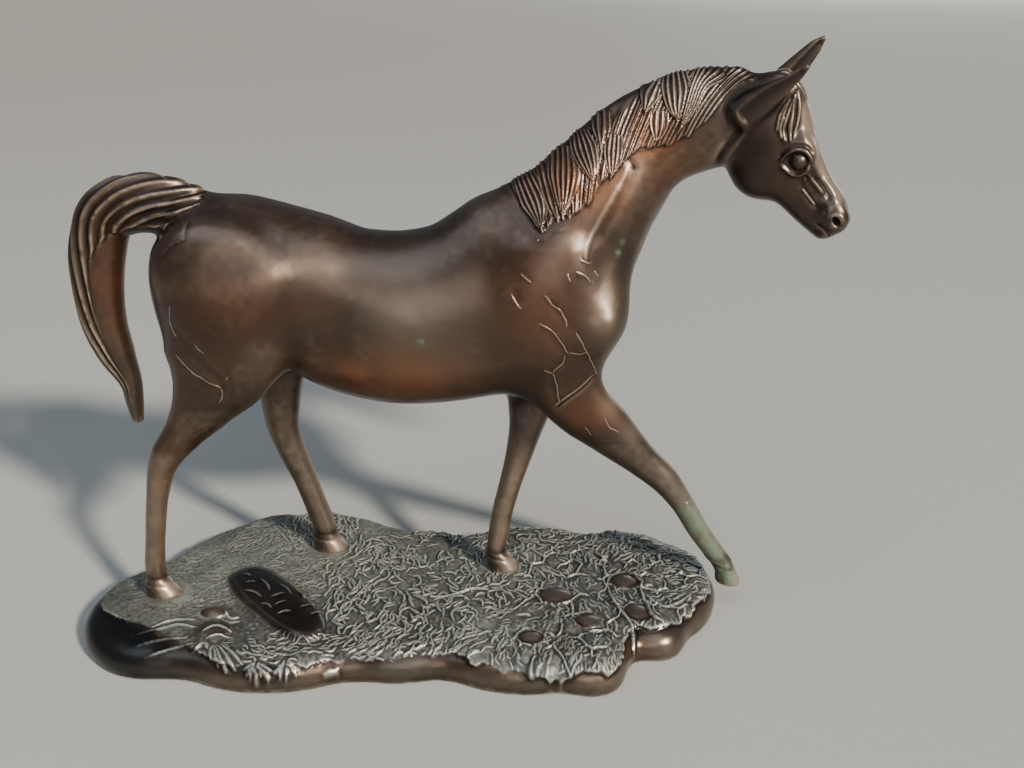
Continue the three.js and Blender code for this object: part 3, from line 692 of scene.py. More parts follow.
class Recipe:
    """A material's nodes, written one after another."""

    def __init__(self, name: str) -> None:
        """Starts an empty material with a shader and an output.

        Args:
            name: The material's name.
        """
        self.made = bpy.data.materials.new(name)
        self.made.use_nodes = True
        self.tree = self.made.node_tree
        self.tree.nodes.clear()
        self.shader = self.node("ShaderNodeBsdfPrincipled")
        out = self.node("ShaderNodeOutputMaterial")
        self.wire(self.shader.outputs["BSDF"], out.inputs["Surface"])

    def node(self, kind: str) -> bpy.types.Node:
        """Adds a node of a kind."""
        return self.tree.nodes.new(kind)

    def wire(self, source: Source, target: bpy.types.NodeSocket) -> None:
        """Links a socket, or sets a plain value.

        Args:
            source: The socket or the value.
            target: The socket that takes it.
        """
        if isinstance(source, bpy.types.NodeSocket):
            self.tree.links.new(source, target)
        else:
            target.default_value = source

    def put(self, **sources: Source) -> None:
        """Links or sets sockets of the shader, named in words joined by underscores."""
        for name, source in sources.items():
            self.wire(source, self.shader.inputs[name.replace("_", " ")])

    def painted(self, name: str) -> bpy.types.NodeSocket:
        """A value painted on the mesh.

        Args:
            name: The name that it was painted under.

        Returns:
            The value.
        """
        node = self.node("ShaderNodeAttribute")
        node.attribute_name = name
        return node.outputs["Fac"]

    def noise(self, scale: float, detail: float, shift: float = 0.0) -> bpy.types.NodeSocket:
        """A cloudy pattern.

        Args:
            scale: How many lumps there are in a metre.
            detail: How many finer layers it has.
            shift: Moves the pattern.

        Returns:
            The pattern's value.
        """
        mapping = self.node("ShaderNodeMapping")
        self.wire(self.node("ShaderNodeTexCoord").outputs["Object"], mapping.inputs["Vector"])
        self.wire((shift, shift * 0.7, shift * 1.3), mapping.inputs["Location"])
        node = self.node("ShaderNodeTexNoise")
        self.wire(mapping.outputs["Vector"], node.inputs["Vector"])
        self.wire(scale, node.inputs["Scale"])
        self.wire(detail, node.inputs["Detail"])
        return node.outputs["Fac"]

    def range(self, value: Source, low: float, high: float, to_low: float = 0.0,
              to_high: float = 1.0) -> bpy.types.NodeSocket:
        """Maps a value softly from one range to another.

        Args:
            value: The value.
            low: Where it starts.
            high: Where it ends.
            to_low: What its start becomes.
            to_high: What its end becomes.

        Returns:
            The mapped value.
        """
        node = self.node("ShaderNodeMapRange")
        node.interpolation_type = "SMOOTHSTEP"
        for name, source in (("Value", value), ("From Min", low), ("From Max", high),
                             ("To Min", to_low), ("To Max", to_high)):
            self.wire(source, node.inputs[name])
        return node.outputs["Result"]

    def join(self, way: Join, a: Source, b: Source) -> bpy.types.NodeSocket:
        """Joins two values, and keeps the result between nought and one.

        Args:
            way: How they are joined.
            a: The first value.
            b: The second value.

        Returns:
            The joined value.
        """
        node = self.node("ShaderNodeMath")
        node.operation = way.value
        node.use_clamp = True
        self.wire(a, node.inputs[0])
        self.wire(b, node.inputs[1])
        return node.outputs[0]

    def plus(self, a: Source, b: Source) -> bpy.types.NodeSocket:
        """The sum of two values."""
        return self.join(Join.PLUS, a, b)

    def times(self, a: Source, b: Source) -> bpy.types.NodeSocket:
        """The product of two values."""
        return self.join(Join.TIMES, a, b)

    def mix(self, share: Source, a: Source, b: Source) -> bpy.types.NodeSocket:
        """Blends two colours.

        Args:
            share: How much of the second there is.
            a: The first colour.
            b: The second colour.

        Returns:
            The blended colour.
        """
        node = self.node("ShaderNodeMix")
        node.data_type = "RGBA"
        self.wire(share, node.inputs[0])
        for source, target in ((a, node.inputs[6]), (b, node.inputs[7])):
            self.wire((*source, 1.0) if isinstance(source, tuple) else source, target)
        return node.outputs[2]

    def bump(self, height: Source, depth: float, strength: float) -> None:
        """Makes the surface look rough.

        Args:
            height: The pattern.
            depth: How deep it looks, in metres.
            strength: How strongly it shows.
        """
        node = self.node("ShaderNodeBump")
        for name, source in (("Distance", depth), ("Strength", strength), ("Height", height)):
            self.wire(source, node.inputs[name])
        self.put(Normal=node.outputs["Normal"])


@dataclass(frozen=True)
class HorseBronze:
    """Dark brown patinated bronze with a satin polish, orange where it is thin and green in spots, with
    painted highlights and painted shade in its colour.
    """

    dark: Colour = (0.024, 0.015, 0.010)
    brown: Colour = (0.048, 0.026, 0.015)
    amber: Colour = (0.240, 0.080, 0.022)
    # Worn ridges and the painted highlights take this colour.
    worn: Colour = (0.49, 0.37, 0.27)
    # Dark grooves and the painted shade take this colour.
    groove_black_and_shade: Colour = (0.012, 0.008, 0.007)
    green: Colour = (0.075, 0.130, 0.090)
    wax: float = 0.5
    wax_in_grooves: float = 0.06
    grain_depth: float = 0.00004

    def material(self) -> bpy.types.Material:
        """Builds the nodes.

        Returns:
            The material.
        """
        s = Recipe("horse_bronze_patina")
        cloud, patchy, fine = s.noise(16, 3), s.noise(55, 4, 0.3), s.noise(420, 3, 0.6)
        # ridge holds worn ridges and painted highlights; recess holds dark grooves and painted shade.
        raised, sunk_and_shade = s.painted("ridge"), s.painted("recess")
        colour = s.mix(s.range(cloud, 0.35, 0.65), self.dark, self.brown)
        warm = s.plus(s.painted("rust"), s.range(patchy, 0.5, 0.8, 0.0, 0.12))
        colour = s.mix(s.times(warm, 0.8), colour, self.amber)
        colour = s.mix(s.times(sunk_and_shade, 0.92), colour, self.groove_black_and_shade)
        colour = s.mix(s.times(raised, 0.5), colour, self.worn)
        green = s.times(s.painted("patina"), s.range(fine, 0.2, 0.52))
        dull = s.plus(s.times(green, 0.65), s.times(raised, 0.4))
        rough = s.plus(s.range(patchy, 0.3, 0.75, 0.33, 0.39), s.times(green, 0.25))
        s.put(
            Base_Color=s.mix(green, colour, self.green),
            Metallic=s.range(dull, 0, 1, 0.8, 0.0),
            Roughness=s.plus(rough, s.times(sunk_and_shade, 0.2)),
            Coat_Weight=s.range(sunk_and_shade, 0, 1, self.wax, self.wax_in_grooves),
            Coat_Roughness=0.3,
            Coat_IOR=1.5,
        )
        s.bump(s.range(fine, 0.3, 0.7), self.grain_depth, 0.35)
        return s.made


@dataclass(frozen=True)
class PlinthBronze:
    """Bronze ground: dark in its grooves, dusty grey-green on the turf, copper on the worn rim and a
    painted shadow on the roll at the left.
    """

    dark: Colour = (0.030, 0.026, 0.024)
    brown: Colour = (0.046, 0.029, 0.019)
    copper: Colour = (0.104, 0.060, 0.038)
    dust: Colour = (0.200, 0.206, 0.172)
    blade: Colour = (0.400, 0.405, 0.345)
    # Dark grooves and the painted shadow take this colour.
    groove_black_and_shade: Colour = (0.012, 0.012, 0.014)
    wax: float = 0.12
    grain_depth: float = 0.00014

    def material(self) -> bpy.types.Material:
        """Builds the nodes.

        Returns:
            The material.
        """
        s = Recipe("plinth_bronze_patina")
        cloud, patchy, fine = s.noise(20, 3), s.noise(75, 4, 0.2), s.noise(600, 3, 0.5)
        turf = s.painted("turf")
        metal = s.mix(s.range(cloud, 0.4, 0.6), self.brown, self.copper)
        metal = s.mix(s.range(patchy, 0.5, 0.75, 0.0, 0.5), metal, self.dark)
        # The shade value is a painted shadow on the left roll, and darker on the leaf.
        metal = s.mix(s.times(s.painted("shade"), 0.95), metal, self.groove_black_and_shade)
        ground = s.mix(s.range(patchy, 0.4, 0.6, 0.0, 0.5), self.dark, self.brown)
        dusty = s.times(s.painted("dust"), s.range(fine, 0.25, 0.6, 0.4, 1.0))
        colour = s.mix(turf, metal, s.mix(dusty, ground, self.dust))
        colour = s.mix(s.times(s.painted("ridge"), 0.8), colour, self.blade)
        rough = s.plus(s.range(patchy, 0.3, 0.7, 0.28, 0.36), s.times(turf, 0.12))
        s.put(
            Base_Color=s.mix(s.times(s.painted("recess"), 0.8), colour, self.groove_black_and_shade),
            Metallic=s.range(turf, 0, 1, 0.85, 0.5),
            Roughness=s.plus(rough, s.times(dusty, 0.1)),
            Coat_Weight=self.wax,
            Coat_Roughness=0.25,
        )
        s.bump(fine, self.grain_depth, 0.5)
        return s.made


@dataclass(frozen=True)
class PaleFloor:
    """A plain pale floor."""

    colour: Colour = (0.36, 0.355, 0.335)
    roughness: float = 0.75

    def material(self) -> bpy.types.Material:
        """Builds the nodes.

        Returns:
            The material.
        """
        s = Recipe("pale_floor")
        s.put(Base_Color=(*self.colour, 1.0), Roughness=self.roughness)
        return s.made


# Lines drawn on the work


@dataclass
class Line:
    """A line cut or raised in a plane.

    Attributes:
        points: The line's points, in two coordinates of its own plane.
        depth: How deep it is cut. Less than nought raises it.
        width: Its half width.
        lip: How far one of its banks stands up beside it.
    """

    points: Points
    depth: float
    width: float
    lip: float = 0.0

    def relief(self, a: Array, b: Array) -> Array:
        """Height that the line adds at each place of its plane.

        Args:
            a: The first coordinate of each place.
            b: The second.

        Returns:
            The heights.
        """
        line = traced(self.points, 6 * (len(self.points) - 1) + 1)
        spread = self.width * 4
        flat = np.stack([a, b], 1)
        near = ((flat > line.min(0) - spread) & (flat < line.max(0) + spread)).all(1)
        raised = np.zeros(len(a))
        if near.any():
            index, part, gap = nearest_on(line, flat[near])
            run = (index + part) / (len(line) - 1)
            e = line[index + 1] - line[index]
            length = np.linalg.norm(np.diff(line, axis=0), axis=1).sum()
            soft = min(self.width * 3, length * 0.35)
            taper = fade(run * length, 0, soft) * fade((1 - run) * length, 0, soft)
            off = flat[near] - line[index]
            side = np.sign(e[:, 0] * off[:, 1] - e[:, 1] * off[:, 0])
            bank = bell(gap * side - self.width * 1.5, self.width * 0.9)
            raised[near] = taper * (self.lip * bank - self.depth * bell(gap, self.width))
        return raised


def ridge(turns: Array, sharp: float = 2.0) -> Array:
    """Raised lines, one for each whole turn, narrower than the grooves between them."""
    return (0.5 + 0.5 * np.cos(2 * np.pi * turns)) ** sharp


@dataclass(frozen=True)
class Lock:
    """A leaf-shaped lock of hair, given by its two edges from root to tip.

    Attributes:
        left: The edge nearer the withers, in x and z.
        right: The edge nearer the poll, in x and z.
        strands: How many raised strands it has.
        lift: How far it stands out.
        strand_lift: How far each strand stands out of it.
        thinnest: Its least half width.
    """

    left: Points
    right: Points
    strands: int = 4
    lift: float = 1.0
    strand_lift: float = 0.6
    thinnest: float = 0.25

    def relief(self, x: Array, z: Array) -> Array:
        """Height of the lock over the neck, nought beyond its edges.

        Args:
            x: The x of each place.
            z: The z of each place.

        Returns:
            The heights.
        """
        left, right = traced(self.left, 13), traced(self.right, 13)
        middle = (left + right) / 2
        half = np.maximum(np.linalg.norm(right - left, axis=1) / 2, self.thinnest)
        flat = np.stack([x, z], 1)
        margin = 2
        low, high = np.minimum(left, right).min(0) - margin, np.maximum(left, right).max(0) + margin
        near = ((flat > low) & (flat < high)).all(1)
        height = np.zeros(len(x))
        if near.any():
            index, part, _ = nearest_on(middle, flat[near])
            w = part[:, None]
            off = flat[near] - middle[index] * (1 - w) - middle[index + 1] * w
            step = middle[index + 1] - middle[index]
            aim = np.stack([-step[:, 1], step[:, 0]], 1) / np.linalg.norm(step, axis=1, keepdims=True)
            reach = half[index] * (1 - part) + half[index + 1] * part
            across = (off * aim).sum(1) / reach
            beyond = np.abs(np.einsum("ij,ij->i", off, aim[:, ::-1] * [-1, 1]))
            run = (index + part) / (len(middle) - 1)
            inside = fade(np.abs(across), 1.15, 0.88) * fade(beyond, 1.2, 0.2)
            lines = ridge((across + 1) / 2 * self.strands, 1.6)
            body = self.lift * (0.55 + 0.45 * fade(run, 0.0, 0.5)) * (1 - 0.3 * across ** 2)
            height[near] = inside * (body + self.strand_lift * lines * fade(run, 1.0, 0.9))
        return height


@dataclass
class Mane:
    """The mane, falling on the near side of the neck.

    Attributes:
        crest: The line of the neck's crest, in x and z.
        hem: The mane's lower edge, in x and z.
        slants: How far strands lean back for each millimetre of drop, as x and lean.
        locks: The locks that lie on top.
        strand_pitch: How far the strands are apart.
        tuft_pitch: How far the tufts of strands are apart.
        wave_pitch: How far the broad waves are apart.
        thickness: How far the mane stands off the neck.
        strand_lift: How far its strands stand out.
        lock_lift: How far the locks lie over the strands.
    """

    crest: Points = (
        (22, 211), (30, 218.1), (51.4, 239), (68.7, 253.7), (85.9, 263.5), (102.9, 270.2),
        (120.1, 272.4), (137.8, 269.5), (150, 262),
    )
    hem: Points = (
        (29, 222), (35.3, 211.3), (43, 204.1), (47.8, 207.7), (52.3, 208.6), (58, 212.2),
        (64.5, 217.1), (67.8, 222.4), (72.1, 225.4), (76.3, 230.2), (80.1, 233.2), (82.6, 235.8),
        (87.8, 237.5), (94.2, 238.8), (99.3, 239.7), (106.1, 242.6), (111, 246), (117, 252.3),
        (122.9, 259.4), (130, 264),
    )
    slants: Points = ((30, -0.9), (45, -0.35), (60, 0.15), (75, 0.6), (95, 1.0), (130, 1.5))
    locks: tuple[Lock, ...] = (
        Lock(((31, 221), (35.3, 211.3), (39.4, 206.8), (43, 204.1)),
             ((40, 226), (45.5, 217.1), (44.7, 210.4), (43, 204.1)), 5, 0.7),
        Lock(((41, 228), (43, 219), (46, 212), (50, 208)),
             ((48, 231), (50, 222), (51, 214), (50, 208)), 3, 0.5),
        Lock(((47, 236), (46.2, 228.9), (48.1, 220.2), (52.2, 209.1)),
             ((59, 236), (59.4, 224.6), (57, 216.2), (52.2, 209.1)), 6, 1.2),
        Lock(((56.4, 243.5), (56, 238), (59.7, 230.2), (65.2, 223.7)),
             ((63.7, 241.8), (67, 235.8), (67.6, 229.8), (65.2, 223.7)), 5, 0.9),
        Lock(((66.5, 250.2), (65.4, 245.2), (66.8, 241), (68.7, 237.1)),
             ((72.9, 252.3), (73.1, 246), (71.6, 241), (68.7, 237.1)), 3, 1.1),
        Lock(((71.6, 241), (70.1, 234.5), (71.1, 228.9), (72.6, 225.4)),
             ((77.5, 244), (77.4, 236.7), (75.4, 230.2), (72.6, 225.4)), 4, 0.6),
        Lock(((90.8, 261.8), (85.9, 257.7), (86.1, 254.4), (87.5, 251.1)),
             ((94.5, 263.9), (93.5, 259.4), (90.7, 255.2), (87.5, 251.1)), 3, 1.1),
        Lock(((90.6, 250.2), (89.5, 246), (90.5, 242.6), (92, 240.1)),
             ((96.8, 254.4), (97.1, 248.6), (95.2, 243.5), (92, 240.1)), 3, 0.6),
        Lock(((96.5, 266.3), (94.7, 261), (96.3, 254.4), (101, 248.6)),
             ((105.7, 268.4), (107.4, 261.8), (105.3, 254.4), (101, 248.6)), 5, 1.4),
        Lock(((112, 270.5), (107, 263), (103.4, 252), (101.5, 244)),
             ((124.5, 270.8), (114.7, 264.5), (108.7, 253), (101.5, 244)), 6, 1.0),
    )
    strand_pitch: float = 2.9
    tuft_pitch: float = 5.2
    wave_pitch: float = 10.5
    thickness: float = 0.55
    strand_lift: float = 0.85
    lock_lift: float = 0.35

    def heights(self, line: Points, x: Array) -> Array:
        """Height of a line of the mane above each x."""
        table = traced(line, 97)
        return np.interp(x, table[:, 0], table[:, 1])

    def region(self, points: Array) -> Array:
        """Which points belong to the mane.

        Args:
            points: The places.

        Returns:
            Yes or no for each.
        """
        x, y, z = points.T
        below = self.heights(self.crest, x) - z
        hem = self.heights(self.hem, x)
        return (x > 24) & (x < 146) & (z > hem - 4) & (z > 195) & (below < 45) & (y < MIDLINE + 9)

    def relief(self, points: Array) -> Array:
        """Height of the mane over the neck.

        Args:
            points: Places on the smooth neck.

        Returns:
            The height at each place.
        """
        x, y, z = points.T
        crest, hem = self.heights(self.crest, x), self.heights(self.hem, x)
        drop = np.maximum(crest - z, 0)
        table = np.asarray(self.slants, float)
        lean = np.interp(x, table[:, 0], table[:, 1])
        swept = fade(x, 82, 106)
        root = x + lean * (drop * (1 - swept) + 2.5 * drop ** 0.7 * swept)
        ragged = 1.3 * crumble(np.stack([root, root * 0], 1), 3.4, 3)
        side = fade(y, MIDLINE + 6, MIDLINE + 1)
        place = fade(x, 24, 31) * fade(x, 138, 128)
        cover = fade(z - hem - ragged, -0.6, 0.6)
        own = scatter(np.floor(root / self.tuft_pitch)) - 0.5
        strand = ridge(root / self.strand_pitch + own * 0.8 * (1 - swept), 2.6)
        band = 7 * fade(x, 92, 76) * (0.5 + 0.5 * fade(x, 30, 45))
        start = fade(drop - band, 0.3, 3.0)
        uneven = 0.75 + 0.25 * np.cos(root * 2 * np.pi / self.tuft_pitch)
        depth = self.strand_lift * np.maximum(start, 0.6 * swept) * uneven
        wave = 0.35 * np.cos((root + 0.1 * drop) * 2 * np.pi / self.wave_pitch)
        height = cover * (self.thickness + wave * fade(drop, 2, 8) + depth * strand)
        for lock in self.locks:
            lying = lock.relief(x, z)
            height = np.where(lying > 0.3, np.maximum(lying + self.lock_lift, height * 0.4), height)
        return side * place * height


@dataclass
class Tail:
    """The tail: strands sweep off the dock and run down its outer half.

    Attributes:
        length: Its length along its middle.
        strands: How many strands would lie side by side all the way round.
        unwind: The run over which the strands straighten.
        wrap_top: How far round the strands reach at the dock, in radians.
        wrap_low: How far round they reach lower down.
        groove: Depth of the grooves between them.
        lift: How far a strand stands out of its grooves.
    """

    length: float = 160.0
    strands: float = 12.5
    unwind: float = 26.0
    wrap_top: float = 2.4
    wrap_low: float = 1.45
    groove: float = 0.4
    lift: float = 1.5

    def relief(self, roll: Roll, points: Array) -> Array:
        """Height of the strands over the tail.

        Args:
            roll: The tail's form.
            points: Places on it.

        Returns:
            The height at each place.
        """
        run, _, deep, wide, _ = roll.read(points)
        around = np.abs(np.arctan2(wide, deep))
        sweep = 2 * np.log(1 + run * self.length / self.unwind)
        turns = self.strands * (sweep - around) / (2 * np.pi)
        rolls = ridge(turns, 1.1)
        edge = self.wrap_top + (self.wrap_low - self.wrap_top) * fade(run, 0.34, 0.5)
        outer = fade(around, edge + 0.08, edge - 0.08) * fade(run, 0.93, 0.84)
        low = 1 - fade(run, 0.7, 0.9)
        return outer * fade(run, 0.0, 0.07) * (self.lift * rolls * low - self.groove)


@dataclass
class Face:
    """The horse's face: lids, eyeballs, nostrils, mouth, ridges and forelock.

    Attributes:
        head: The directions that its places are given in, as down and front.
        eye: The middle of the eyeball.
        nostril: The middle of the nostril.
        nostril_rim: Points along the nostril's rim.
        nostril_thickness: The rim's half thickness at each of them.
        forelock: The forelock's loose strands.
        lines: The face's other lines.
    """

    head: HeadFrame
    eye: tuple[float, float] = (31.8, -9.6)
    nostril: tuple[float, float] = (63.0, -4.8)
    nostril_rim: Points = (
        (59.6, -6.6), (60.4, -3.6), (63.4, -2.2), (66.4, -3.4), (67, -6), (64.6, -7.6),
    )
    nostril_thickness: tuple[float, ...] = (0.8, 1.1, 1.1, 0.9, 0.7, 0.6)
    forelock: tuple[Points, ...] = (
        ((2.7, 0.1), (10.2, -1.4), (15.5, -3.9), (22.5, -8.8)),
        ((4, -0.8), (9.5, -3.6), (15, -6.4), (21.5, -9.8)),
        ((5.5, -1.8), (11.4, -6.8), (17, -10.7), (22.1, -11.8)),
        ((6, -4.7), (10.8, -10.1), (16.6, -13.7)),
        ((12.3, -4.9), (16.5, -7.8), (23, -9.9)), ((11.1, -7.5), (14.9, -11.2), (19.8, -12.7)),
        ((5, -3.2), (10.5, -8.2), (15.6, -11.8), (20.6, -12.6)),
    )
    lines: tuple[Line, ...] = (
        Line(((36.6, -8.4), (41, -7.6), (45.5, -6.4), (50.5, -5.2)), -0.9, 0.9),
        Line(((39.5, -6.4), (45, -4.8), (50.5, -3.7), (54.5, -3.4)), 0.9, 1.3),
        Line(((41.9, -4.1), (46.9, -2.5), (52, -1.7), (56.2, -1.9)), -0.4, 0.8),
        Line(((1.9, 1.6), (10.4, -0.7), (20.7, -3.3), (29.4, -4.8), (35.7, -4.5), (43.1, -3.7)),
             -0.3, 1.3),
        Line(((8, -25.5), (9.3, -27.9), (12.2, -32.8), (15, -37.2), (19.3, -43.7)), 1.0, 1.7, 0.5),
        Line(((39, -12), (44, -11.8), (50.5, -11), (56, -8.5)), 0.45, 1.3),
        Line(((43.6, -12.9), (48, -11.8), (53.5, -10.4)), -0.5, 0.45),
        Line(((38.4, -9.8), (41.4, -10.6)), -0.35, 0.4),
        Line(((69.5, -9.5), (65, -10.6), (60, -12.8)), 0.6, 0.6),
        Line(((55, -3.5), (57.5, -6.5), (57, -10)), -0.35, 1.2),
        Line(((14, -11), (22, -7.5)), 0.7, 2.4),
        Line(((27, -17.4), (24.8, -13), (24.6, -8.3), (27.2, -4.4), (32, -3)), 0.5, 0.8),
        Line(((29, -17.8), (26.7, -13), (26.5, -8.2), (29.6, -5), (34.4, -4.6)), -0.95, 0.8),
        Line(((29, -17.8), (32.6, -16.2), (35.8, -14.4), (37.3, -11.6), (36.9, -8.2), (34.6, -5.6)),
             -1.15, 0.9),
    )

    def skin(self, clay: Clay, spots: Points, side: float) -> Array:
        """Finds the skin of one cheek.

        Args:
            clay: The horse's form.
            spots: Down and front of each place.
            side: 1 for the left cheek and -1 for the right.

        Returns:
            Down, front and left of the skin at each place.
        """
        inward = side * np.linspace(18, 2, 81)
        found = []
        for down, front in spots:
            ray = np.stack([np.full_like(inward, down), np.full_like(inward, front), inward], 1)
            inside = clay.distance(self.head.place(ray)) < 0
            found.append(ray[np.argmax(inside)])
        return np.array(found)

    def rim(self, clay: Clay, side: float) -> Roll:
        """The rim about one nostril, half set into the skin.

        Args:
            clay: The form that it lies on.
            side: 1 for the left cheek and -1 for the right.

        Returns:
            The rim.
        """
        laid = self.skin(clay, self.nostril_rim, side)
        laid[:, 2] -= side * 0.5
        places = self.head.place(laid)
        rows = [(*place, thick, thick) for place, thick in zip(places, self.nostril_thickness)]
        return Roll(rows, across=self.head.axes[2], cap=1.0)

    def shape(self, clay: Clay) -> None:
        """Presses in the eye sockets and nostrils, and lays on the nostrils' rims and the eyeballs.

        Args:
            clay: The horse's form.
        """
        head = self.head
        for side in (1.0, -1.0):
            skull = Clay(list(clay.steps))
            rim = self.rim(skull, side)
            (_, _, at_eye), (_, _, at_nostril) = self.skin(skull, ((31.4, -10), (63.2, -5)), side)
            clay.press(head.mass(31.8, -11, at_eye, (5.0, 6.2, 1.7)), 1.4)
            clay.add(rim, 1.6)
            clay.press(head.mass(*self.nostril, at_nostril, (2.3, 1.2, 1.9)), 1.2)
            clay.add(head.mass(*self.eye, at_eye - side * 3.0, (4.1, 3.9, 4.0)), 0.4)

    def strands(self, down: Array, front: Array) -> Array:
        """Height of the forelock's loose strands.

        Args:
            down: How far down each place is.
            front: How far in front.

        Returns:
            The heights.
        """
        height = np.zeros(len(down))
        for strand in self.forelock:
            height = np.maximum(height, Line(strand, -0.75, 0.62).relief(down, front))
        return height

    def relief(self, points: Array) -> Array:
        """Height of the lines and the forelock.

        Args:
            points: Places on the head.

        Returns:
            The height at each place.
        """
        down, front, left = self.head.read(points).T
        cheek = fade(np.abs(left), 3.2, 5.2)
        raised = sum(line.relief(down, front) for line in self.lines) * cheek
        raised += self.strands(down, front) * fade(np.abs(left), 2.5, 4.5) * fade(down, 2.5, 5)
        top = fade(down, -8, -4) * fade(down, 12, 6) * fade(np.abs(left), 7, 4)
        return raised + top * (0.3 + 0.5 * ridge(left / 1.9, 1.4))


@dataclass
class Creases:
    """Lines on the body, in x and z.

    Attributes:
        veins: Thin raised veins, which only the near side has.
        swells: Muscles that stand out on the near side: x, z, height and half width.
        broad: Skin folds, the edges of muscles and a seam.
    """

    veins: tuple[Points, ...] = (
        ((59.7, 192.9), (64.2, 190.7)), ((58.1, 188), (62.1, 185.7), (64.8, 182.1)),
        ((54.2, 187.1), (55.6, 183)), ((66, 187.1), (68.3, 184.4)),
        ((33.5, 186.6), (36, 184.8), (38.8, 182.5)), ((30, 177.5), (32.2, 173.3), (34.5, 171)),
        ((43.7, 177.9), (48.2, 173.3), (51.8, 169.6), (53.7, 166.3), (54.6, 163)),
        ((42, 165.2), (44.8, 163.5), (48.4, 160.7), (51.6, 156.9), (54, 152.1), (55.4, 149.7)),
        ((55.4, 149.7), (60.8, 149.4), (63.5, 150.7)),
        ((58.3, 160.2), (61.1, 155.9), (64, 149.7), (66.9, 142.9), (69.4, 136.5)),
        ((54, 148.7), (52.8, 143.9), (50.1, 141), (48.7, 138.5)), ((44.1, 141), (48.7, 138.5)),
        ((48.7, 138.5), (50.2, 132.6), (51.2, 127.6), (52.7, 121.1)),
        ((-120.4, 172.3), (-121.9, 167.6), (-122.1, 162.9), (-121.2, 159.1), (-119.6, 157.2)),
        ((-111.4, 154.4), (-107.8, 150.5)),
        ((-122, 149.1), (-116.4, 142.8), (-110.6, 138.4), (-105.5, 135), (-102.5, 133)),
        ((-102.5, 133), (-102.3, 128.5), (-103.8, 125)), ((-98.6, 139.4), (-99.8, 136.9)),
        ((73.4, 113.9), (76.4, 108.7), (81.3, 105)), ((64, 109.6), (65.9, 106.5), (67.9, 104.4)),
    )
    swells: Points = (
        (88, 163, 9, 30), (67, 217, 6.5, 23), (75, 159, 4.5, 14), (38, 150, 1.5, 16), (73, 123, 2.2, 9),
        (-75, 184, 2.2, 11), (-97, 186, -1.6, 14), (-54, 165, -1.8, 12), (-50, 148, -1.4, 11),
    )
    broad: tuple[Line, ...] = (
        Line(((80.3, 230.3), (76.7, 223), (71.4, 214.3), (66.4, 205.5), (63.1, 198.8), (62, 190)),
             -0.2, 1.0),
        Line(((84, 233), (80.5, 224), (75, 214), (70, 205), (66.5, 197)), 0.32, 2.4),
        Line(((79, 235), (82, 231), (84, 228)), 0.4, 1.4),
        Line(((44, 179), (55, 165), (63, 156)), 0.35, 2.4),
        Line(((43, 166), (54, 152), (62, 151)), 0.35, 2.4),
        Line(((56, 150), (49, 139), (51, 125), (53, 117)), 0.4, 2.2),
        Line(((30, 182), (34, 172)), 0.3, 2.2),
        Line(((-121, 164), (-116, 154), (-102, 136), (-103, 126)), 0.35, 2.2),
        Line(((50.5, 119), (55.5, 124.2), (59.1, 127.2), (63.2, 130.7), (68.5, 136.5)), 0.4, 0.7, 0.35),
    )

    def region(self, points: Array) -> Array:
        """Which points lie where fine lines are cut.

        Args:
            points: The places.

        Returns:
            Yes or no for each.
        """
        x, y, z = points.T
        chest = (x > 27) & (x < 84) & (z > 100) & (z < 196)
        rump = (x > -126) & (x < -96) & (z > 121) & (z < 176)
        return (chest | rump) & (y < 0)

    def relief(self, points: Array) -> Array:
        """Height that the lines add. The far side has the broad ones alone."""
        x, _, z = points.T
        return self.veined(points) + sum(line.relief(x, z) for line in self.broad)

    def swell(self, points: Array) -> Array:
        """How far each point is moved out sideways, to round the muscles of the near side.

        Args:
            points: The places.

        Returns:
            The moves.
        """
        x, y, z = points.T
        rise = sum(height * bell(np.hypot(x - cx, z - cz), wide) for cx, cz, height, wide in self.swells)
        return rise * fade(y, 6, -5) * (x > -125) * (z > 100)

    def veined(self, points: Array) -> Array:
        """Height of the thin raised veins, which only the near side has.

        Args:
            points: The places.

        Returns:
            The heights.
        """
        x, y, z = points.T
        x, z = (value + 0.6 * crumble(points, 3.5, seed) for value, seed in ((x, 51), (z, 52)))
        return sum(Line(vein, -0.28, 0.29, -0.14).relief(x, z) for vein in self.veins) * fade(y, 2, -3)


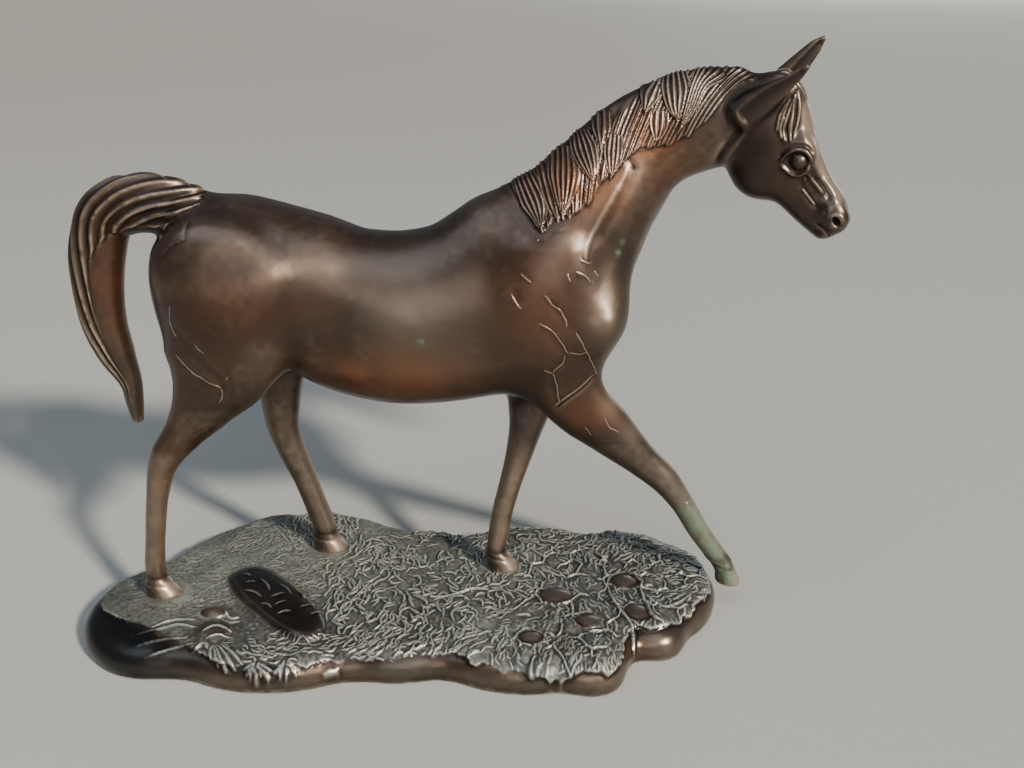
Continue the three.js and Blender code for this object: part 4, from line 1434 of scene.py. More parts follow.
@dataclass
class Horse:
    """The whole animal, cast as one.

    Attributes:
        cell: The size of its even faces.
        head: The head's directions.
        mane: The mane.
        tail_hair: The tail's strands.
        creases: Lines and muscles of the body.
        rust_spots: Where it shows orange: x, z, half length, half height and strength.
        painted_highlight_spots: Painted highlights and sheen on the barrel, back, shoulder and forearm,
            in the same way.
        painted_shade_spots: Painted shade, thinly, in the same way.
        patina_spots: Where it has turned green: x, z and radius.
        ridge_rise: How far a ridge stands out where it is worn bright.
        vein_rise: The same for the thin veins.
        groove_depth: How deep a groove is where it is black.
    """

    cell: float = 0.85
    head: HeadFrame = field(default_factory=HeadFrame)
    mane: Mane = field(default_factory=Mane)
    tail_hair: Tail = field(default_factory=Tail)
    creases: Creases = field(default_factory=Creases)
    rust_spots: Points = ((-28, 134, 38, 14, 1), (42, 172, 20, 26, 0.4), (60, 222, 22, 12, 0.9),
                          (88, 243, 15, 9, 1), (-150, 180, 16, 30, 0.5), (70, 118, 24, 12, 0.5),
                          (-96, 170, 26, 14, 0.35), (98, 226, 16, 14, 0.35), (-128, 60, 14, 40, 0.4))
    # Painted highlights and sheen.
    painted_highlight_spots: Points = ((-14, 170, 24, 22, 0.3), (4, 142, 30, 12, 0.12), (-54, 187, 26, 6, 0.15),
                          (71, 170, 9, 15, 0.45), (78, 121, 8, 9, 0.6), (90, 105, 8, 9, 0.5),
                          (108, 80, 8, 8, 0.5))
    # Painted shade.
    painted_shade_spots: Points = ((-102, 172, 34, 26, 0.45), (72, 196, 16, 20, 0.3), (-100, 120, 24, 30, 0.2))
    patina_spots: Points = ((-11, 155.5, 1.6), (78.5, 198, 1.6), (77, 193.5, 1.2), (121, 50, 17),
                            (130, 36, 11), (141, 22, 7))
    ridge_rise: float = 0.07
    vein_rise: float = 0.22
    groove_depth: float = 0.04

    def __post_init__(self) -> None:
        """Lays the forms that the horse is modelled from."""
        self.face = Face(self.head)
        self.hooves = (
            Hoof(-146, -17, SOLE_HEIGHT, 9, 7.6, 9),
            Hoof(-69, 27, SOLE_HEIGHT, 9.4, 8, 9.5),
            Hoof(25, 7, SOLE_HEIGHT, 8.6, 7.4, 9),
            Hoof(142, 0, TOE_HEIGHT, 6.8, 6.4, 11, -0.12),
        )
        self.tail = Roll(self.midline((
            (-110, 202, 13, 9), (-121, 206.8, 13.3, 9.5), (-133, 210.2, 13.3, 10),
            (-145.6, 209.7, 13.2, 10.5), (-156, 204.4, 12.5, 10.5), (-161.6, 190, 12.5, 10),
            (-164.3, 173, 11.6, 9), (-164.4, 155, 10.4, 8.2), (-160.9, 139, 8.5, 7),
            (-156.5, 124, 5.6, 5), (-155.9, 113.5, 4.5, 4.2), (-155.6, 103.4, 3, 2.9),
        )))
        self.clay = Clay([(form, blend, Work.LAY) for form, blend in self.forms()])

    @staticmethod
    def midline(rows: Points) -> list[tuple[float, ...]]:
        """Sets stations of x, z, depth and width on the midline."""
        return [(x, MIDLINE, z, depth, width) for x, z, depth, width in rows]

    def forms(self) -> list[tuple[Form, float]]:
        """Each form in turn, with the width over which it melts into those before it.

        Returns:
            The forms and their widths.
        """
        head = self.head
        trunk = Roll(self.midline((
            (-127.8, 168.5, 27, 20), (-114, 170.5, 41.5, 29), (-93, 173, 42, 32), (-70, 171, 37, 31),
            (-47, 160, 40.5, 31.5), (-23, 155.5, 42, 33), (1, 158, 43, 33), (24, 164, 46, 31.5),
            (48, 164, 43, 28), (63, 160, 31, 20),
        )), cap=0.5)
        neck = Roll(self.midline((
            (49, 186, 37, 23), (60.5, 201.8, 31.5, 18.5), (73.4, 219.2, 26, 15), (86.6, 234.4, 22.6, 13),
            (98.4, 242, 21.2, 12), (110.3, 246.4, 20.9, 11.5), (130.5, 249.7, 19.2, 10.5),
        )), egg=0.22)
        near_hind = Roll((
            (-101, -13, 176, 26, 15), (-105.2, -14, 140, 25.6, 13.5), (-115, -14.5, 120.5, 15.4, 10.5),
            (-125.2, -15, 106.6, 9.6, 7.6), (-136.9, -16, 91.2, 7.2, 6), (-141.8, -17, 74, 5.4, 4.8),
            (-146.2, -17, 49, 4.8, 4.5), (-148.3, -17, 33, 5.1, 4.8), (-148, -17, 25.5, 4.6, 4.6),
        ))
        far_hind = Roll((
            (-92, 26, 165, 25, 14), (-87, 27, 138, 19, 12), (-88.3, 27, 114, 11.4, 9),
            (-89, 27, 92, 8.6, 7.2), (-86.5, 27, 80, 7.6, 6.6), (-79.5, 27, 59.3, 6.2, 5.6),
            (-74.2, 27, 41.2, 6.1, 5.4), (-71.5, 27, 32, 6.2, 5.6), (-70.5, 27, 25.5, 5.4, 5.2),
        ))
        near_fore = Roll((
            (46, -8, 152, 26, 13), (58.8, -7, 121.5, 16.5, 10.5), (76.3, -5, 103, 12.6, 9.4),
            (93.1, -3, 86.1, 8.6, 7.3), (106.3, -2, 73.7, 7.3, 6.8), (115.6, -1, 60.5, 5.8, 5.5),
            (125.3, -1, 44.3, 5.4, 5), (133.9, 0, 31.9, 5, 5), (139.3, 0, 24.5, 5, 5),
        ))
        far_fore = Roll((
            (43, 20, 140, 20, 12), (39.5, 19, 108, 12, 9.6), (36.9, 18, 92.9, 8.6, 8),
            (32.8, 16, 76.4, 6.7, 6.4), (29.7, 14, 65.9, 6, 5.9), (25.2, 11, 49.5, 5.5, 5.1),
            (23.3, 9, 38.7, 5.5, 5.1), (21.8, 7.5, 30, 4.9, 4.9), (22.3, 7, 24.5, 4.6, 4.6),
        ))
        skull_rows = (
            (-1, -14, 13, 9), (10, -13.3, 14.6, 10.6), (24, -15.2, 15.8, 11.6), (36, -14.6, 14.4, 9.8),
            (48, -12, 12.2, 7.8), (58, -9, 11, 7.4), (64.5, -7.8, 8.8, 7.2),
        )
        skull = Roll(
            [(*head.place((down, front, 0))[0], deep, wide) for down, front, deep, wide in skull_rows],
            square=2.4, cap=0.75, across=head.axes[2])
        near_ear = Roll((
            (128.5, -3.5, 250.6, 7.4, 5.4), (134, -5, 255.2, 6.6, 4.2), (140.2, -6, 260, 5.2, 2.9),
            (147.3, -6.5, 265.2, 3.4, 1.9), (152, -6.8, 269.1, 2.1, 1.3), (155.3, -7, 272.3, 0.8, 0.8),
        ))
        far_ear = Roll((
            (139, 13, 254, 6.2, 5.5), (146.5, 15, 260.6, 5.6, 4), (153.6, 16, 267.4, 4.9, 2.6),
            (159.4, 16.6, 273.4, 4.2, 2), (163.6, 17.2, 278, 3.2, 1.5), (167.9, 18, 282.2, 0.8, 0.8),
        ))
        found: list[tuple[Form, float]] = [(trunk, 0), (neck, 26)]
        for x, y, z, long, wide, thick, lean, blend in (
            (-102, -15, 182, 29, 24, 13, -20, 9), (-99, 30, 180, 29, 26, 12, -20, 9),
            (42, -14, 172, 21, 31, 12, -18, 10), (42, 28, 172, 21, 31, 12, -18, 10),
            (64, -3, 160, 16, 20, 12, -30, 8), (64, 17, 160, 16, 20, 12, -30, 8),
        ):
            found.append((muscle(x, y, z, long, wide, thick, lean), blend))
        found += [(near_hind, 12), (far_hind, 12), (muscle(-86, -17, 146, 15, 11, 8, 60), 9)]
        found += [(near_fore, 14), (far_fore, 14), (skull, 10)]
        for down, front, left, sizes, blend in (
            (28, -26, 0, (15.8, 14.6, 9.6), 5),
            (29.5, -8, 8.6, (8.5, 6.5, 4), 4), (29.5, -8, -8.6, (8.5, 6.5, 4), 4),
            (61.5, -5.3, 6, (6.4, 5.6, 3.2), 4), (61.5, -5.3, -6, (6.4, 5.6, 3.2), 4),
            (61.5, -13.2, 0, (5.6, 4, 5), 3), (9, -2.6, 0, (15, 4.4, 7.6), 3),
        ):
            found.append((head.mass(down, front, left, sizes), blend))
        found += [(near_ear, 2.5), (far_ear, 2.5), (self.tail, 5)]
        return found + [(hoof, 2) for hoof in self.hooves]

    def hollow_ears(self) -> None:
        """Presses the ears hollow on their open sides."""
        near = (
            (129.5, -9.8, 251, 4.6, 2.4), (135, -10.4, 256, 5.4, 3.1), (140.8, -9.9, 260.6, 4.5, 2.6),
            (147.4, -9, 265.3, 2.9, 1.7), (152, -8.4, 269.3, 1.6, 1.0),
        )
        far = (
            (147, 10.5, 257.5, 3, 2.6), (152.5, 11.5, 263.5, 3.4, 2.6), (158, 13, 270, 3, 2.2),
            (162.5, 14.6, 275.5, 2, 1.4), (165.5, 16, 279.5, 1.1, 0.9),
        )
        for stations in (near, far):
            self.clay.press(Roll(stations), 1.6)

    def hoof_relief(self, points: Array) -> Array:
        """Height of the coronets over the hooves' walls.

        Args:
            points: The places.

        Returns:
            The heights.
        """
        raised = np.zeros(len(points))
        for hoof in self.hooves:
            out = np.hypot(points[:, 0] - hoof.x, points[:, 1] - hoof.y)
            near = (out < 14) & (np.abs(points[:, 2] - hoof.sole) < 20)
            above = points[near, 2] - hoof.tread(points[near])
            tilt = above + 0.22 * (points[near, 0] - hoof.x)
            coronet = 0.3 * bell(tilt - hoof.height, 1.3) - 0.2 * bell(tilt - hoof.height + 2, 0.8)
            raised[near] += fade(above, 0.6, 1.6) * coronet
        return raised

    def fine_region(self, points: Array) -> Array:
        """Which points get smaller faces: head, mane, tail, creases and hooves.

        Args:
            points: The places.

        Returns:
            Yes or no for each.
        """
        x, _, z = points.T
        head = (x > 122) & (z > 188)
        tail = (x < -112) & (z > 98) & self.tail.near(points)
        feet = z < 31
        return head | tail | feet | self.mane.region(points) | self.creases.region(points)

    def relief(self, points: Array) -> Array:
        """Height of all the carving over the smooth form.

        Args:
            points: The places.

        Returns:
            The heights.
        """
        raised = self.creases.relief(points) * fade(points[:, 2], 92, 100) * fade(points[:, 0], 96, 90)
        maned = self.mane.region(points)
        raised[maned] += self.mane.relief(points[maned])
        headed = (points[:, 0] > 108) & (points[:, 2] > 188)
        raised[headed] += self.face.relief(points[headed])
        tailed = np.nonzero((points[:, 0] < -110) & self.tail.near(points))[0]
        tailed = tailed[self.tail.distance(points[tailed]) < 2.5]
        raised[tailed] += self.tail_hair.relief(self.tail, points[tailed])
        raised += self.hoof_relief(points)
        return raised + 0.12 * crumble(points, 9, 1) + 0.05 * crumble(points, 3.1, 2)

    def build(self, finish: HorseBronze) -> bpy.types.Object:
        """Meshes, carves and dresses the horse.

        Args:
            finish: The bronze that it is cast in.

        Returns:
            The finished piece.
        """
        self.face.shape(self.clay)
        self.hollow_ears()
        skin = Skin("horse", "cast_horse", self.cell)
        log.info("horse: %d points", len(skin.points))
        skin.points = settle(self.clay.distance, skin.points, 3)
        skin.points = skin.spread(skin.points, 4)
        x, _, z = skin.points.T
        trunk = fade(x, -128, -116) * fade(x, 92, 70) * fade(z, 100, 122)
        skin.points += (skin.spread(skin.points, 60) - skin.points) * trunk[:, None]
        skin.refine(self.fine_region)
        skin.refine(self.eye_region)
        smooth = skin.points
        fine = self.fine_region(smooth) & ~self.creases.region(smooth)
        smooth[fine] = settle(self.clay.distance, smooth[fine], 2)
        smooth[:, 1] -= self.creases.swell(smooth)
        skin.points = smooth
        log.info("horse: %d points after refining", len(smooth))
        smooth = skin.spread(smooth, 2)
        skin.points = smooth
        skin.points = smooth + skin.normals * self.relief(smooth)[:, None]
        bulge = skin.bulge()
        worn = skin.spread(bulge, 1) / self.ridge_rise
        worn = np.maximum(worn, self.creases.veined(smooth) / self.vein_rise)
        worn *= 1 - 0.75 * self.mane.region(smooth) * fade(crumble(smooth, 8, 41), 0.45, -0.2)
        # Painted shade on the cheek, ears, rump, neck and thigh. It dims the ridge value and joins the
        # dark grooves in the recess value.
        shade = self.shade(smooth)
        # The ridge value mixes worn ridges with the painted highlights.
        skin.paint("ridge", np.maximum(worn, self.painted_highlights(smooth)) * (1 - 0.85 * shade))
        skin.paint("recess", np.maximum(skin.spread(-bulge, 2) / self.groove_depth, shade))
        skin.paint("patina", self.patina(smooth))
        skin.paint("rust", self.rust(smooth))
        skin.thin(PIECE_FACES)
        skin.piece.data.materials.append(finish.material())
        return skin.piece

    def eye_region(self, points: Array) -> Array:
        """Which points lie about the eyes and nostrils.

        Args:
            points: The places.

        Returns:
            Yes or no for each.
        """
        down, front, left = self.head.read(points).T
        eye = np.hypot(down - 31.7, front + 10.4) < 9
        nostril = np.hypot(down - 63.3, front + 4.8) < 6.5
        return (eye | nostril) & (np.abs(left) > 3) & (points[:, 0] > 130)

    def painted_highlights(self, points: Array) -> Array:
        """Painted highlights: the sunlit front of the face, a highlight on each hoof, and the pale
        spots.

        Args:
            points: The places.

        Returns:
            How bright each place is.
        """
        down, front, left = self.head.read(points).T
        edge = np.interp(down, (2, 10, 21, 29, 36, 43, 56), (1.6, -0.7, -3.3, -4.8, -4.5, -3.7, -1.9))
        bright = 0.9 * fade(front - edge, -1.2, 1) * fade(down, 6, 12) * fade(down, 62, 54)
        bright *= fade(np.abs(left), 12, 9) * fade(points[:, 0], 138, 144)
        for hoof in self.hooves:
            off = np.hypot(points[:, 0] - hoof.x - 5, points[:, 1] - hoof.y + 4)
            low = fade(points[:, 2], hoof.sole + 12, hoof.sole + 6)
            bright = np.maximum(bright, bell(off, 6.5) * low)
        return bright + blots(points, self.painted_highlight_spots).sum(0)

    def shade(self, points: Array) -> Array:
        """Painted shade: the cheek and the ears in shadow, and thinly the rump, neck and thigh.

        Args:
            points: The places.

        Returns:
            How dark the painted shade is at each place.
        """
        down, front, left = self.head.read(points).T
        cheek = 0.8 * bell(np.hypot((down - 16) / 14, (front + 23) / 12), 1)
        ear = 0.9 * fade(np.abs(left), 6.5, 8.5) * fade(down, 12, 8) * fade(front, -30, -26)
        black = np.maximum(cheek * fade(left, 0, -3), ear) * fade(points[:, 0], 112, 122)
        return np.maximum(black, blots(points, self.painted_shade_spots).max(0))

    def rust(self, points: Array) -> Array:
        """Where the bronze shows orange: low on the flank, on the shoulder, and under the mane."""
        return blots(points, self.rust_spots).max(0) * (0.8 + 0.35 * crumble(points, 12, 15))

    def patina(self, points: Array) -> Array:
        """Where the bronze has turned green.

        Args:
            points: The places.

        Returns:
            How green each place is.
        """
        x, y, z = points.T
        green = np.zeros(len(points))
        for px, pz, radius in self.patina_spots:
            green = np.maximum(green, bell(np.hypot(x - px, z - pz), radius) * fade(y, 6, 0))
        return green * (0.75 + 0.45 * crumble(points, 5, 5))


# Plinth


@dataclass(frozen=True)
class Tufts:
    """A patch of grass blades.

    Attributes:
        centre: The patch's middle, in x and y.
        radii: Its half sizes.
        count: How many blades.
        heading: The way they lie, in degrees from +X.
        turn: How far they stray from it, in degrees.
        length: How long a blade is.
        lift: How far it stands up.
        width: Its half width.
    """

    centre: tuple[float, float]
    radii: tuple[float, float]
    count: int
    heading: float = 0.0
    turn: float = 180.0
    length: float = 6.5
    lift: float = 0.9
    width: float = 0.85


class Relief:
    """Heights drawn on the ground, kept on a fine square grid of x and y."""

    def __init__(self, low: tuple[float, float], high: tuple[float, float], cell: float) -> None:
        """Starts flat.

        Args:
            low: The lowest x and y.
            high: The highest x and y.
            cell: The size of a square.
        """
        self.low, self.cell = np.asarray(low, float), cell
        self.count = np.ceil((np.asarray(high, float) - self.low) / cell).astype(int) + 1
        self.height = np.zeros(self.count)

    def places(self) -> Array:
        """The x and y of every square."""
        i, j = np.meshgrid(*(np.arange(n) for n in self.count), indexing="ij")
        return self.low + np.stack([i, j], -1).reshape(-1, 2) * self.cell

    def stroke(self, line: Array, width: float, lift: float, taper: float = 1.0) -> None:
        """Lays a rounded, tapering stroke.

        Args:
            line: Its points.
            width: Its half width.
            lift: How high it stands. Less than nought cuts it in.
            taper: How much thinner it gets at its two ends, from 0 to 1.
        """
        first = np.maximum(((line.min(0) - width - self.low) / self.cell).astype(int), 0)
        last = np.minimum(((line.max(0) + width - self.low) / self.cell).astype(int) + 2, self.count)
        if (last <= first).any():
            return
        i, j = np.meshgrid(np.arange(first[0], last[0]), np.arange(first[1], last[1]), indexing="ij")
        spots = self.low + np.stack([i, j], -1).reshape(-1, 2) * self.cell
        index, part, gap = nearest_on(line, spots)
        run = (index + part) / (len(line) - 1)
        half = width * (1 - taper * np.abs(2 * run - 1) ** 2)
        across = gap / np.maximum(half, 1e-3)
        raised = lift * np.clip(1 - across, 0, 1) ** 0.8 * (1 - 0.5 * taper * np.abs(2 * run - 1) ** 3)
        patch = self.height[first[0]:last[0], first[1]:last[1]]
        raised = raised.reshape(patch.shape)
        patch[:] = np.maximum(patch, raised) if lift > 0 else patch + raised

    def read(self, points: Array) -> Array:
        """Heights at any places, blended between the squares.

        Args:
            points: The places.

        Returns:
            The heights.
        """
        at = (points[:, :2] - self.low) / self.cell
        at = np.clip(at, 0, self.count - 1.001)
        i = at.astype(int)
        w = at - i
        h = self.height
        near = h[i[:, 0], i[:, 1]] * (1 - w[:, 0]) + h[i[:, 0] + 1, i[:, 1]] * w[:, 0]
        far = h[i[:, 0], i[:, 1] + 1] * (1 - w[:, 0]) + h[i[:, 0] + 1, i[:, 1] + 1] * w[:, 0]
        return near * (1 - w[:, 1]) + far * w[:, 1]


@dataclass
class Plinth:
    """The low ground plate with grass, stones and a broad leaf, cast as one.

    Attributes:
        hooves: The hooves that stand on it.
        cell: The size of its even faces.
        footprint: The discs that its plan is melted together from: x, y and radius.
        swells: Rises and dips of the ground: x, y, height and half width.
        stones: x, y, half length, half width and height of the top.
        leaf_centre: The middle of the broad leaf.
        leaf_sizes: Its half length and half width.
        leaf_turn: Its turn from +X, in degrees.
        patches: The patches of grass.
        dust_spots: Where the turf is dustiest: x, y and half width.
        level: Height of the bare ground.
        rim_round: How widely the rim is rounded.
        hoof_sink: How far the ground lies under a sole.
        underside: Points below this height stay where they are.
        ridge_rise: How far a ridge stands out where it is worn bright.
        groove_depth: How deep a groove is where it is black.
    """

    hooves: tuple[Hoof, ...]
    cell: float = 0.9
    footprint: Points = (
        (-140, -21, 44), (-84, 0, 75), (-25, -7, 61), (38, -9, 67), (90, 4, 47), (101, -38, 13),
        (68, -62, 15),
    )
    swells: Points = (
        (-84, 34, 3.2, 30), (-150, -24, 2, 24), (-118, -30, -2, 22), (-30, -8, 2.4, 34),
        (-60, -48, -1.6, 26), (26, 14, 2.8, 26), (78, 24, 2.2, 26), (60, -30, 1.6, 30),
        (106, 2, 1.2, 22),
    )
    stones: Points = (
        (52, -21, 8.5, 6.5, 19.6), (88, -8, 7, 6, 19), (92, -34, 7.5, 6.5, 18.4),
        (67, -42, 6.5, 5, 18.6), (39, -54, 6, 4.5, 17.6), (-117, -31, 6.5, 4.5, 17.2),
        (-113, -45, 9, 6.5, 17.2),
    )
    leaf_centre: tuple[float, float] = (-88.0, -23.0)
    leaf_sizes: tuple[float, float] = (37.0, 11.8)
    leaf_turn: float = -48.0
    patches: tuple[Tufts, ...] = (
        Tufts((-20, -8), (48, 56), 470, 20, 180, 7.4, 1.0),
        Tufts((35, 18), (32, 38), 220, 30, 150, 7.0, 0.95),
        Tufts((92, 22), (34, 26), 210, 50, 70, 6.8, 0.8),
        Tufts((-104, 36), (26, 22), 150, 35, 22, 10, 0.4, 0.7),
        Tufts((-78, 44), (22, 22), 110, 100, 70, 8, 0.9, 0.8),
        Tufts((-78, 6), (24, 26), 90, 10, 60, 7.0, 0.45, 0.7),
        Tufts((-140, -6), (34, 28), 150, 15, 40, 7.5, 0.3, 0.7),
        Tufts((-75, -58), (40, 11), 120, 10, 50, 6.0, 0.8, 0.7),
        Tufts((-10, -58), (40, 12), 110, 15, 60, 6.6, 0.9),
        Tufts((108, -10), (18, 24), 80, 30, 60, 6.2, 0.9),
        Tufts((58, -38), (42, 30), 240, 60, 100, 5.2, 0.7, 0.75),
        Tufts((56, -68), (36, 10), 110, 70, 60, 5.0, 0.7, 0.75),
    )
    dust_spots: Points = ((-140, 0, 40), (-60, 20, 45), (-84, 44, 30), (20, 10, 24), (20, -50, 22))
    level: float = 15.2
    rim_round: float = 13.0
    hoof_sink: float = 0.5
    underside: float = 0.8
    ridge_rise: float = 0.07
    groove_depth: float = 0.05

    def __post_init__(self) -> None:
        """Lays the stones and the leaf."""
        level = ((1, 0, 0), (0, 1, 0), (0, 0, 1))
        self.masses = [
            Mass((x, y, top - 5), (long, wide, 5), level) for x, y, long, wide, top in self.stones
        ]
        c, s = bearing(self.leaf_turn)
        turned = ((c, s, 0), (-s, c, 0), (0, 0, 1))
        self.masses.append(Mass((*self.leaf_centre, 14.4), (*self.leaf_sizes, 5.6), turned, 3))

    def outline(self, points: Array) -> Array:
        """Distance outside the plate's edge, in plan.

        Args:
            points: The places.

        Returns:
            The distances, less than nought inside.
        """
        total = np.full(len(points), REACH)
        for x, y, radius in self.footprint:
            total = smooth_min(total, np.hypot(points[:, 0] - x, points[:, 1] - y) - radius, 10)
        return total

    def ground(self, points: Array) -> Array:
        """Height of the bare ground.

        Args:
            points: The places.

        Returns:
            The heights.
        """
        x, y = points[:, 0], points[:, 1]
        height = np.full(len(points), self.level)
        for cx, cy, rise, radius in self.swells:
            height += rise * bell(np.hypot(x - cx, y - cy), radius)
        for hoof in self.hooves[:3]:
            w = fade(np.hypot(x - hoof.x, y - hoof.y), 17, 10)
            height += (hoof.sole - self.hoof_sink - height) * w
        return height

    def distance(self, points: Array) -> Array:
        """Distances from the smooth plate, with its stones and leaf.

        Args:
            points: The places.

        Returns:
            The distances.
        """
        flat = self.outline(points) + 1.2 * bell(points[:, 2], 5)
        solid = smooth_max(flat, points[:, 2] - self.ground(points), self.rim_round)
        for mass in self.masses:
            near = mass.near(points)
            solid[near] = smooth_min(solid[near], mass.distance(points[near]), 4)
        return np.maximum(solid, -points[:, 2])

    def settle(self, points: Array, rounds: int) -> Array:
        """Moves points onto the smooth plate, and leaves its flat underside alone.

        Args:
            points: Places close to the plate.
            rounds: How many times each is moved.

        Returns:
            The moved places.
        """
        moved = settle(self.distance, points, rounds)
        keep = points[:, 2] < self.underside
        moved[keep] = points[keep]
        return moved

    def leaf_cover(self, points: Array, rim: float = 1.0) -> Array:
        """One on the broad leaf, nought off it.

        Args:
            points: The places.
            rim: Draws the rim in, as a share of its size.

        Returns:
            The cover at each place.
        """
        c, s = bearing(self.leaf_turn)
        off = points[:, :2] - np.array(self.leaf_centre)
        long = off @ np.array([c, s]) / self.leaf_sizes[0]
        wide = off @ np.array([-s, c]) / self.leaf_sizes[1]
        return fade((np.abs(long) ** 3 + np.abs(wide) ** 3) ** (1 / 3), rim + 0.06, rim - 0.06)

    def bare(self, points: Array) -> Array:
        """One where no grass grows: the stones and the leaf.

        Args:
            points: The places.

        Returns:
            The share that is bare at each place.
        """
        x, y = points[:, 0], points[:, 1]
        bare = self.leaf_cover(points)
        for sx, sy, long, wide, _ in self.stones:
            bare = np.maximum(bare, fade(np.hypot((x - sx) / long, (y - sy) / wide), 1.1, 0.85))
        return bare

    def turf(self, points: Array) -> Array:
        """One where the turf covers the plate, nought on its smooth roll and rim.

        Args:
            points: The places.

        Returns:
            The cover at each place.
        """
        x, y = points[:, 0], points[:, 1]
        inset = 4.4 + 1.6 * crumble(points[:, :2], 7, 4) + 0.8 * crumble(points[:, :2], 2.6, 6)
        inset = inset + 26 * bell(np.hypot((x + 158) / 26, (y + 58) / 26), 1)
        inset = inset + 5 * bell(np.hypot(x - 102, y + 50), 12) - 3 * bell(np.hypot(x - 50, y + 80), 26)
        return fade(self.outline(points) + inset, 0.5, -0.5)

    def grass(self, relief: Relief) -> None:
        """Draws every patch of blades.

        Args:
            relief: The heights that they are drawn on.
        """
        dice = np.random.default_rng(GRASS_SEED)
        for patch in self.patches:
            rows = np.stack([dice.uniform(-1, 1, patch.count * 3) for _ in range(2)], 1)
            rows = rows[(rows ** 2).sum(1) < 1][:patch.count]
            roots = np.array(patch.centre) + rows * np.array(patch.radii)
            flow = 0.75 * crumble(roots, 13, 21) + 0.3 * dice.uniform(-1, 1, len(rows))
            headings = np.radians(patch.heading + patch.turn * flow)
            sizes = dice.uniform(0.7, 1.25, (len(rows), 3))
            bends = dice.uniform(-0.34, 0.34, len(rows))
            for root, heading, size, bend in zip(roots, headings, sizes, bends):
                aim = np.array([math.cos(heading), math.sin(heading) * 1.35])
                aside = np.array([-aim[1], aim[0]])
                length = patch.length * size[0]
                middle = root + aim * length * 0.5 + aside * length * bend
                line = traced((root, middle, root + aim * length), 6)
                relief.stroke(line, patch.width * size[1], patch.lift * size[2])

    def lips(self, relief: Relief) -> None:
        """Draws the torn lips of turf about the stones, and the edge of the turf in front.

        Args:
            relief: The heights that they are drawn on.
        """
        for points, width, lift in (
            (((79, -11), (80, -24), (84, -34), (88, -45), (88, -53)), 1.3, 1.5),
            (((95, -11), (96, -24), (98, -37), (103, -41)), 1.4, 1.5),
            (((77, -15), (82, -4), (91, -1), (96, -10)), 1.1, 1.2),
            (((-51, -24), (-47, -17), (-43, -10)), 0.9, 1.3),
            (((-11, -21), (-1, -19), (10, -14), (18, -14)), 1.1, 1.5),
            (((98, -20), (104, -28), (112, -26), (120, -18)), 1.2, 1.2),
        ):
            relief.stroke(traced(points, 14), width, lift, 0.55)

    def leaves(self, relief: Relief) -> None:
        """Draws the ferns, the fan, the buds, the fringes on the rim and the cuts of the leaf.

        Args:
            relief: The heights that they are drawn on.
        """
        for points, width, lift in (
            (((-151, -51), (-141, -45), (-131, -41), (-121, -43)), 1.1, 0.8),
            (((-147, -57), (-136, -53), (-125, -50)), 1.1, 0.8),
            (((-141, -62), (-130, -58), (-120, -54)), 1.0, 0.7),
            (((-144, -43), (-134, -38), (-124, -37)), 0.9, 1.0),
            (((-119, -60), (-115, -56), (-112, -60)), 2.0, 1.8),
            (((-111, -57), (-110, -62), (-109, -66)), 1.7, 1.2),
            (((-111, -57), (-107, -64), (-105, -69)), 1.7, 1.2),
            (((-110, -57), (-105, -65), (-101, -71)), 1.7, 1.2),
            (((-109, -57), (-102, -65), (-97, -71)), 1.7, 1.2),
            (((-107, -57), (-100, -63), (-94, -69)), 1.6, 1.2),
            (((-112, -31), (-108, -34), (-104, -33)), 1.3, 1.5),
            (((-112, -35), (-107, -38), (-103, -36)), 1.2, 1.4),
            (((-118, -48), (-112, -45), (-104, -47)), 0.9, 1.0),
            (((-116, -52), (-110, -50), (-103, -51)), 0.9, 1.0),
        ):
            relief.stroke(traced(points, 9), width, lift, 0.8)
        dice = np.random.default_rng(TUFT_SEED)
        for x, y in ((-87, -69), (-74, -68), (-62, -73), (-52, -68)):
            for heading in np.linspace(-155, -25, 8) + dice.uniform(-9, 9, 8):
                aim = np.array(bearing(heading))
                root = np.array([x, y]) + dice.uniform(-1.5, 1.5, 2)
                line = np.array([root, root + aim * 2.5, root + aim * dice.uniform(3.5, 6.5)])
                relief.stroke(traced(line, 5), 1.5, 1.0, 0.5)
        for a, b in (((-110, -2), (-105, -5)), ((-106, -11), (-101, -11)), ((-105, -17), (-95, -24)),
                     ((-99, -8), (-92, -19)), ((-88, -13), (-81, -21)), ((-90, -24), (-84, -21)),
                     ((-87, -31), (-82, -28)), ((-74, -33), (-68, -29)), ((-68, -38), (-64, -35)),
                     ((-79, -17), (-74, -24)), ((-84, -38), (-78, -36)), ((-94, -29), (-88, -33))):
            middle = (np.array(a) + np.array(b)) / 2 + np.array([0.6, 0.8])
            relief.stroke(traced((a, middle, b), 6), 0.85, 0.75, 0.6)

    def cloddy(self, points: Array) -> Array:
        """One on the right, where the turf is in clods, and nought elsewhere."""
        return fade(points[:, 0], 18, 40) * fade(points[:, 1], 34, 16)

    def clods(self, points: Array) -> Array:
        """Heights of the rounded clods on the right, and of the thin lips of turf between them.

        Args:
            points: The places.

        Returns:
            The heights.
        """
        dice = np.random.default_rng(CLOD_SEED)
        spots = [(x, y) for x, y, _, _, _ in self.stones[:5]]
        for row, y in enumerate(np.arange(-66, 60, 11.5)):
            for x in np.arange(10, 140, 12.5):
                spot = np.array([x + 6.2 * (row % 2), y]) + dice.uniform(-3.2, 3.2, 2)
                if min(math.dist(spot, other) for other in spots) > 8.5:
                    spots.append(tuple(spot))
        first, second = np.full(len(points), 99.0), np.full(len(points), 99.0)
        bent = points[:, :2] + 1.6 * np.stack([crumble(points, 6, 31), crumble(points, 6, 32)], 1)
        for spot in spots:
            gap = np.hypot(*(bent - np.array(spot)).T)
            second = np.minimum(second, np.maximum(first, gap))
            first = np.minimum(first, gap)
        torn = fade(crumble(points[:, :2], 7, 33), -0.35, 0.25)
        return 1.4 * torn * bell(second - first, 1.0) + 0.9 * (1 - np.clip(first / 7, 0, 1) ** 2)

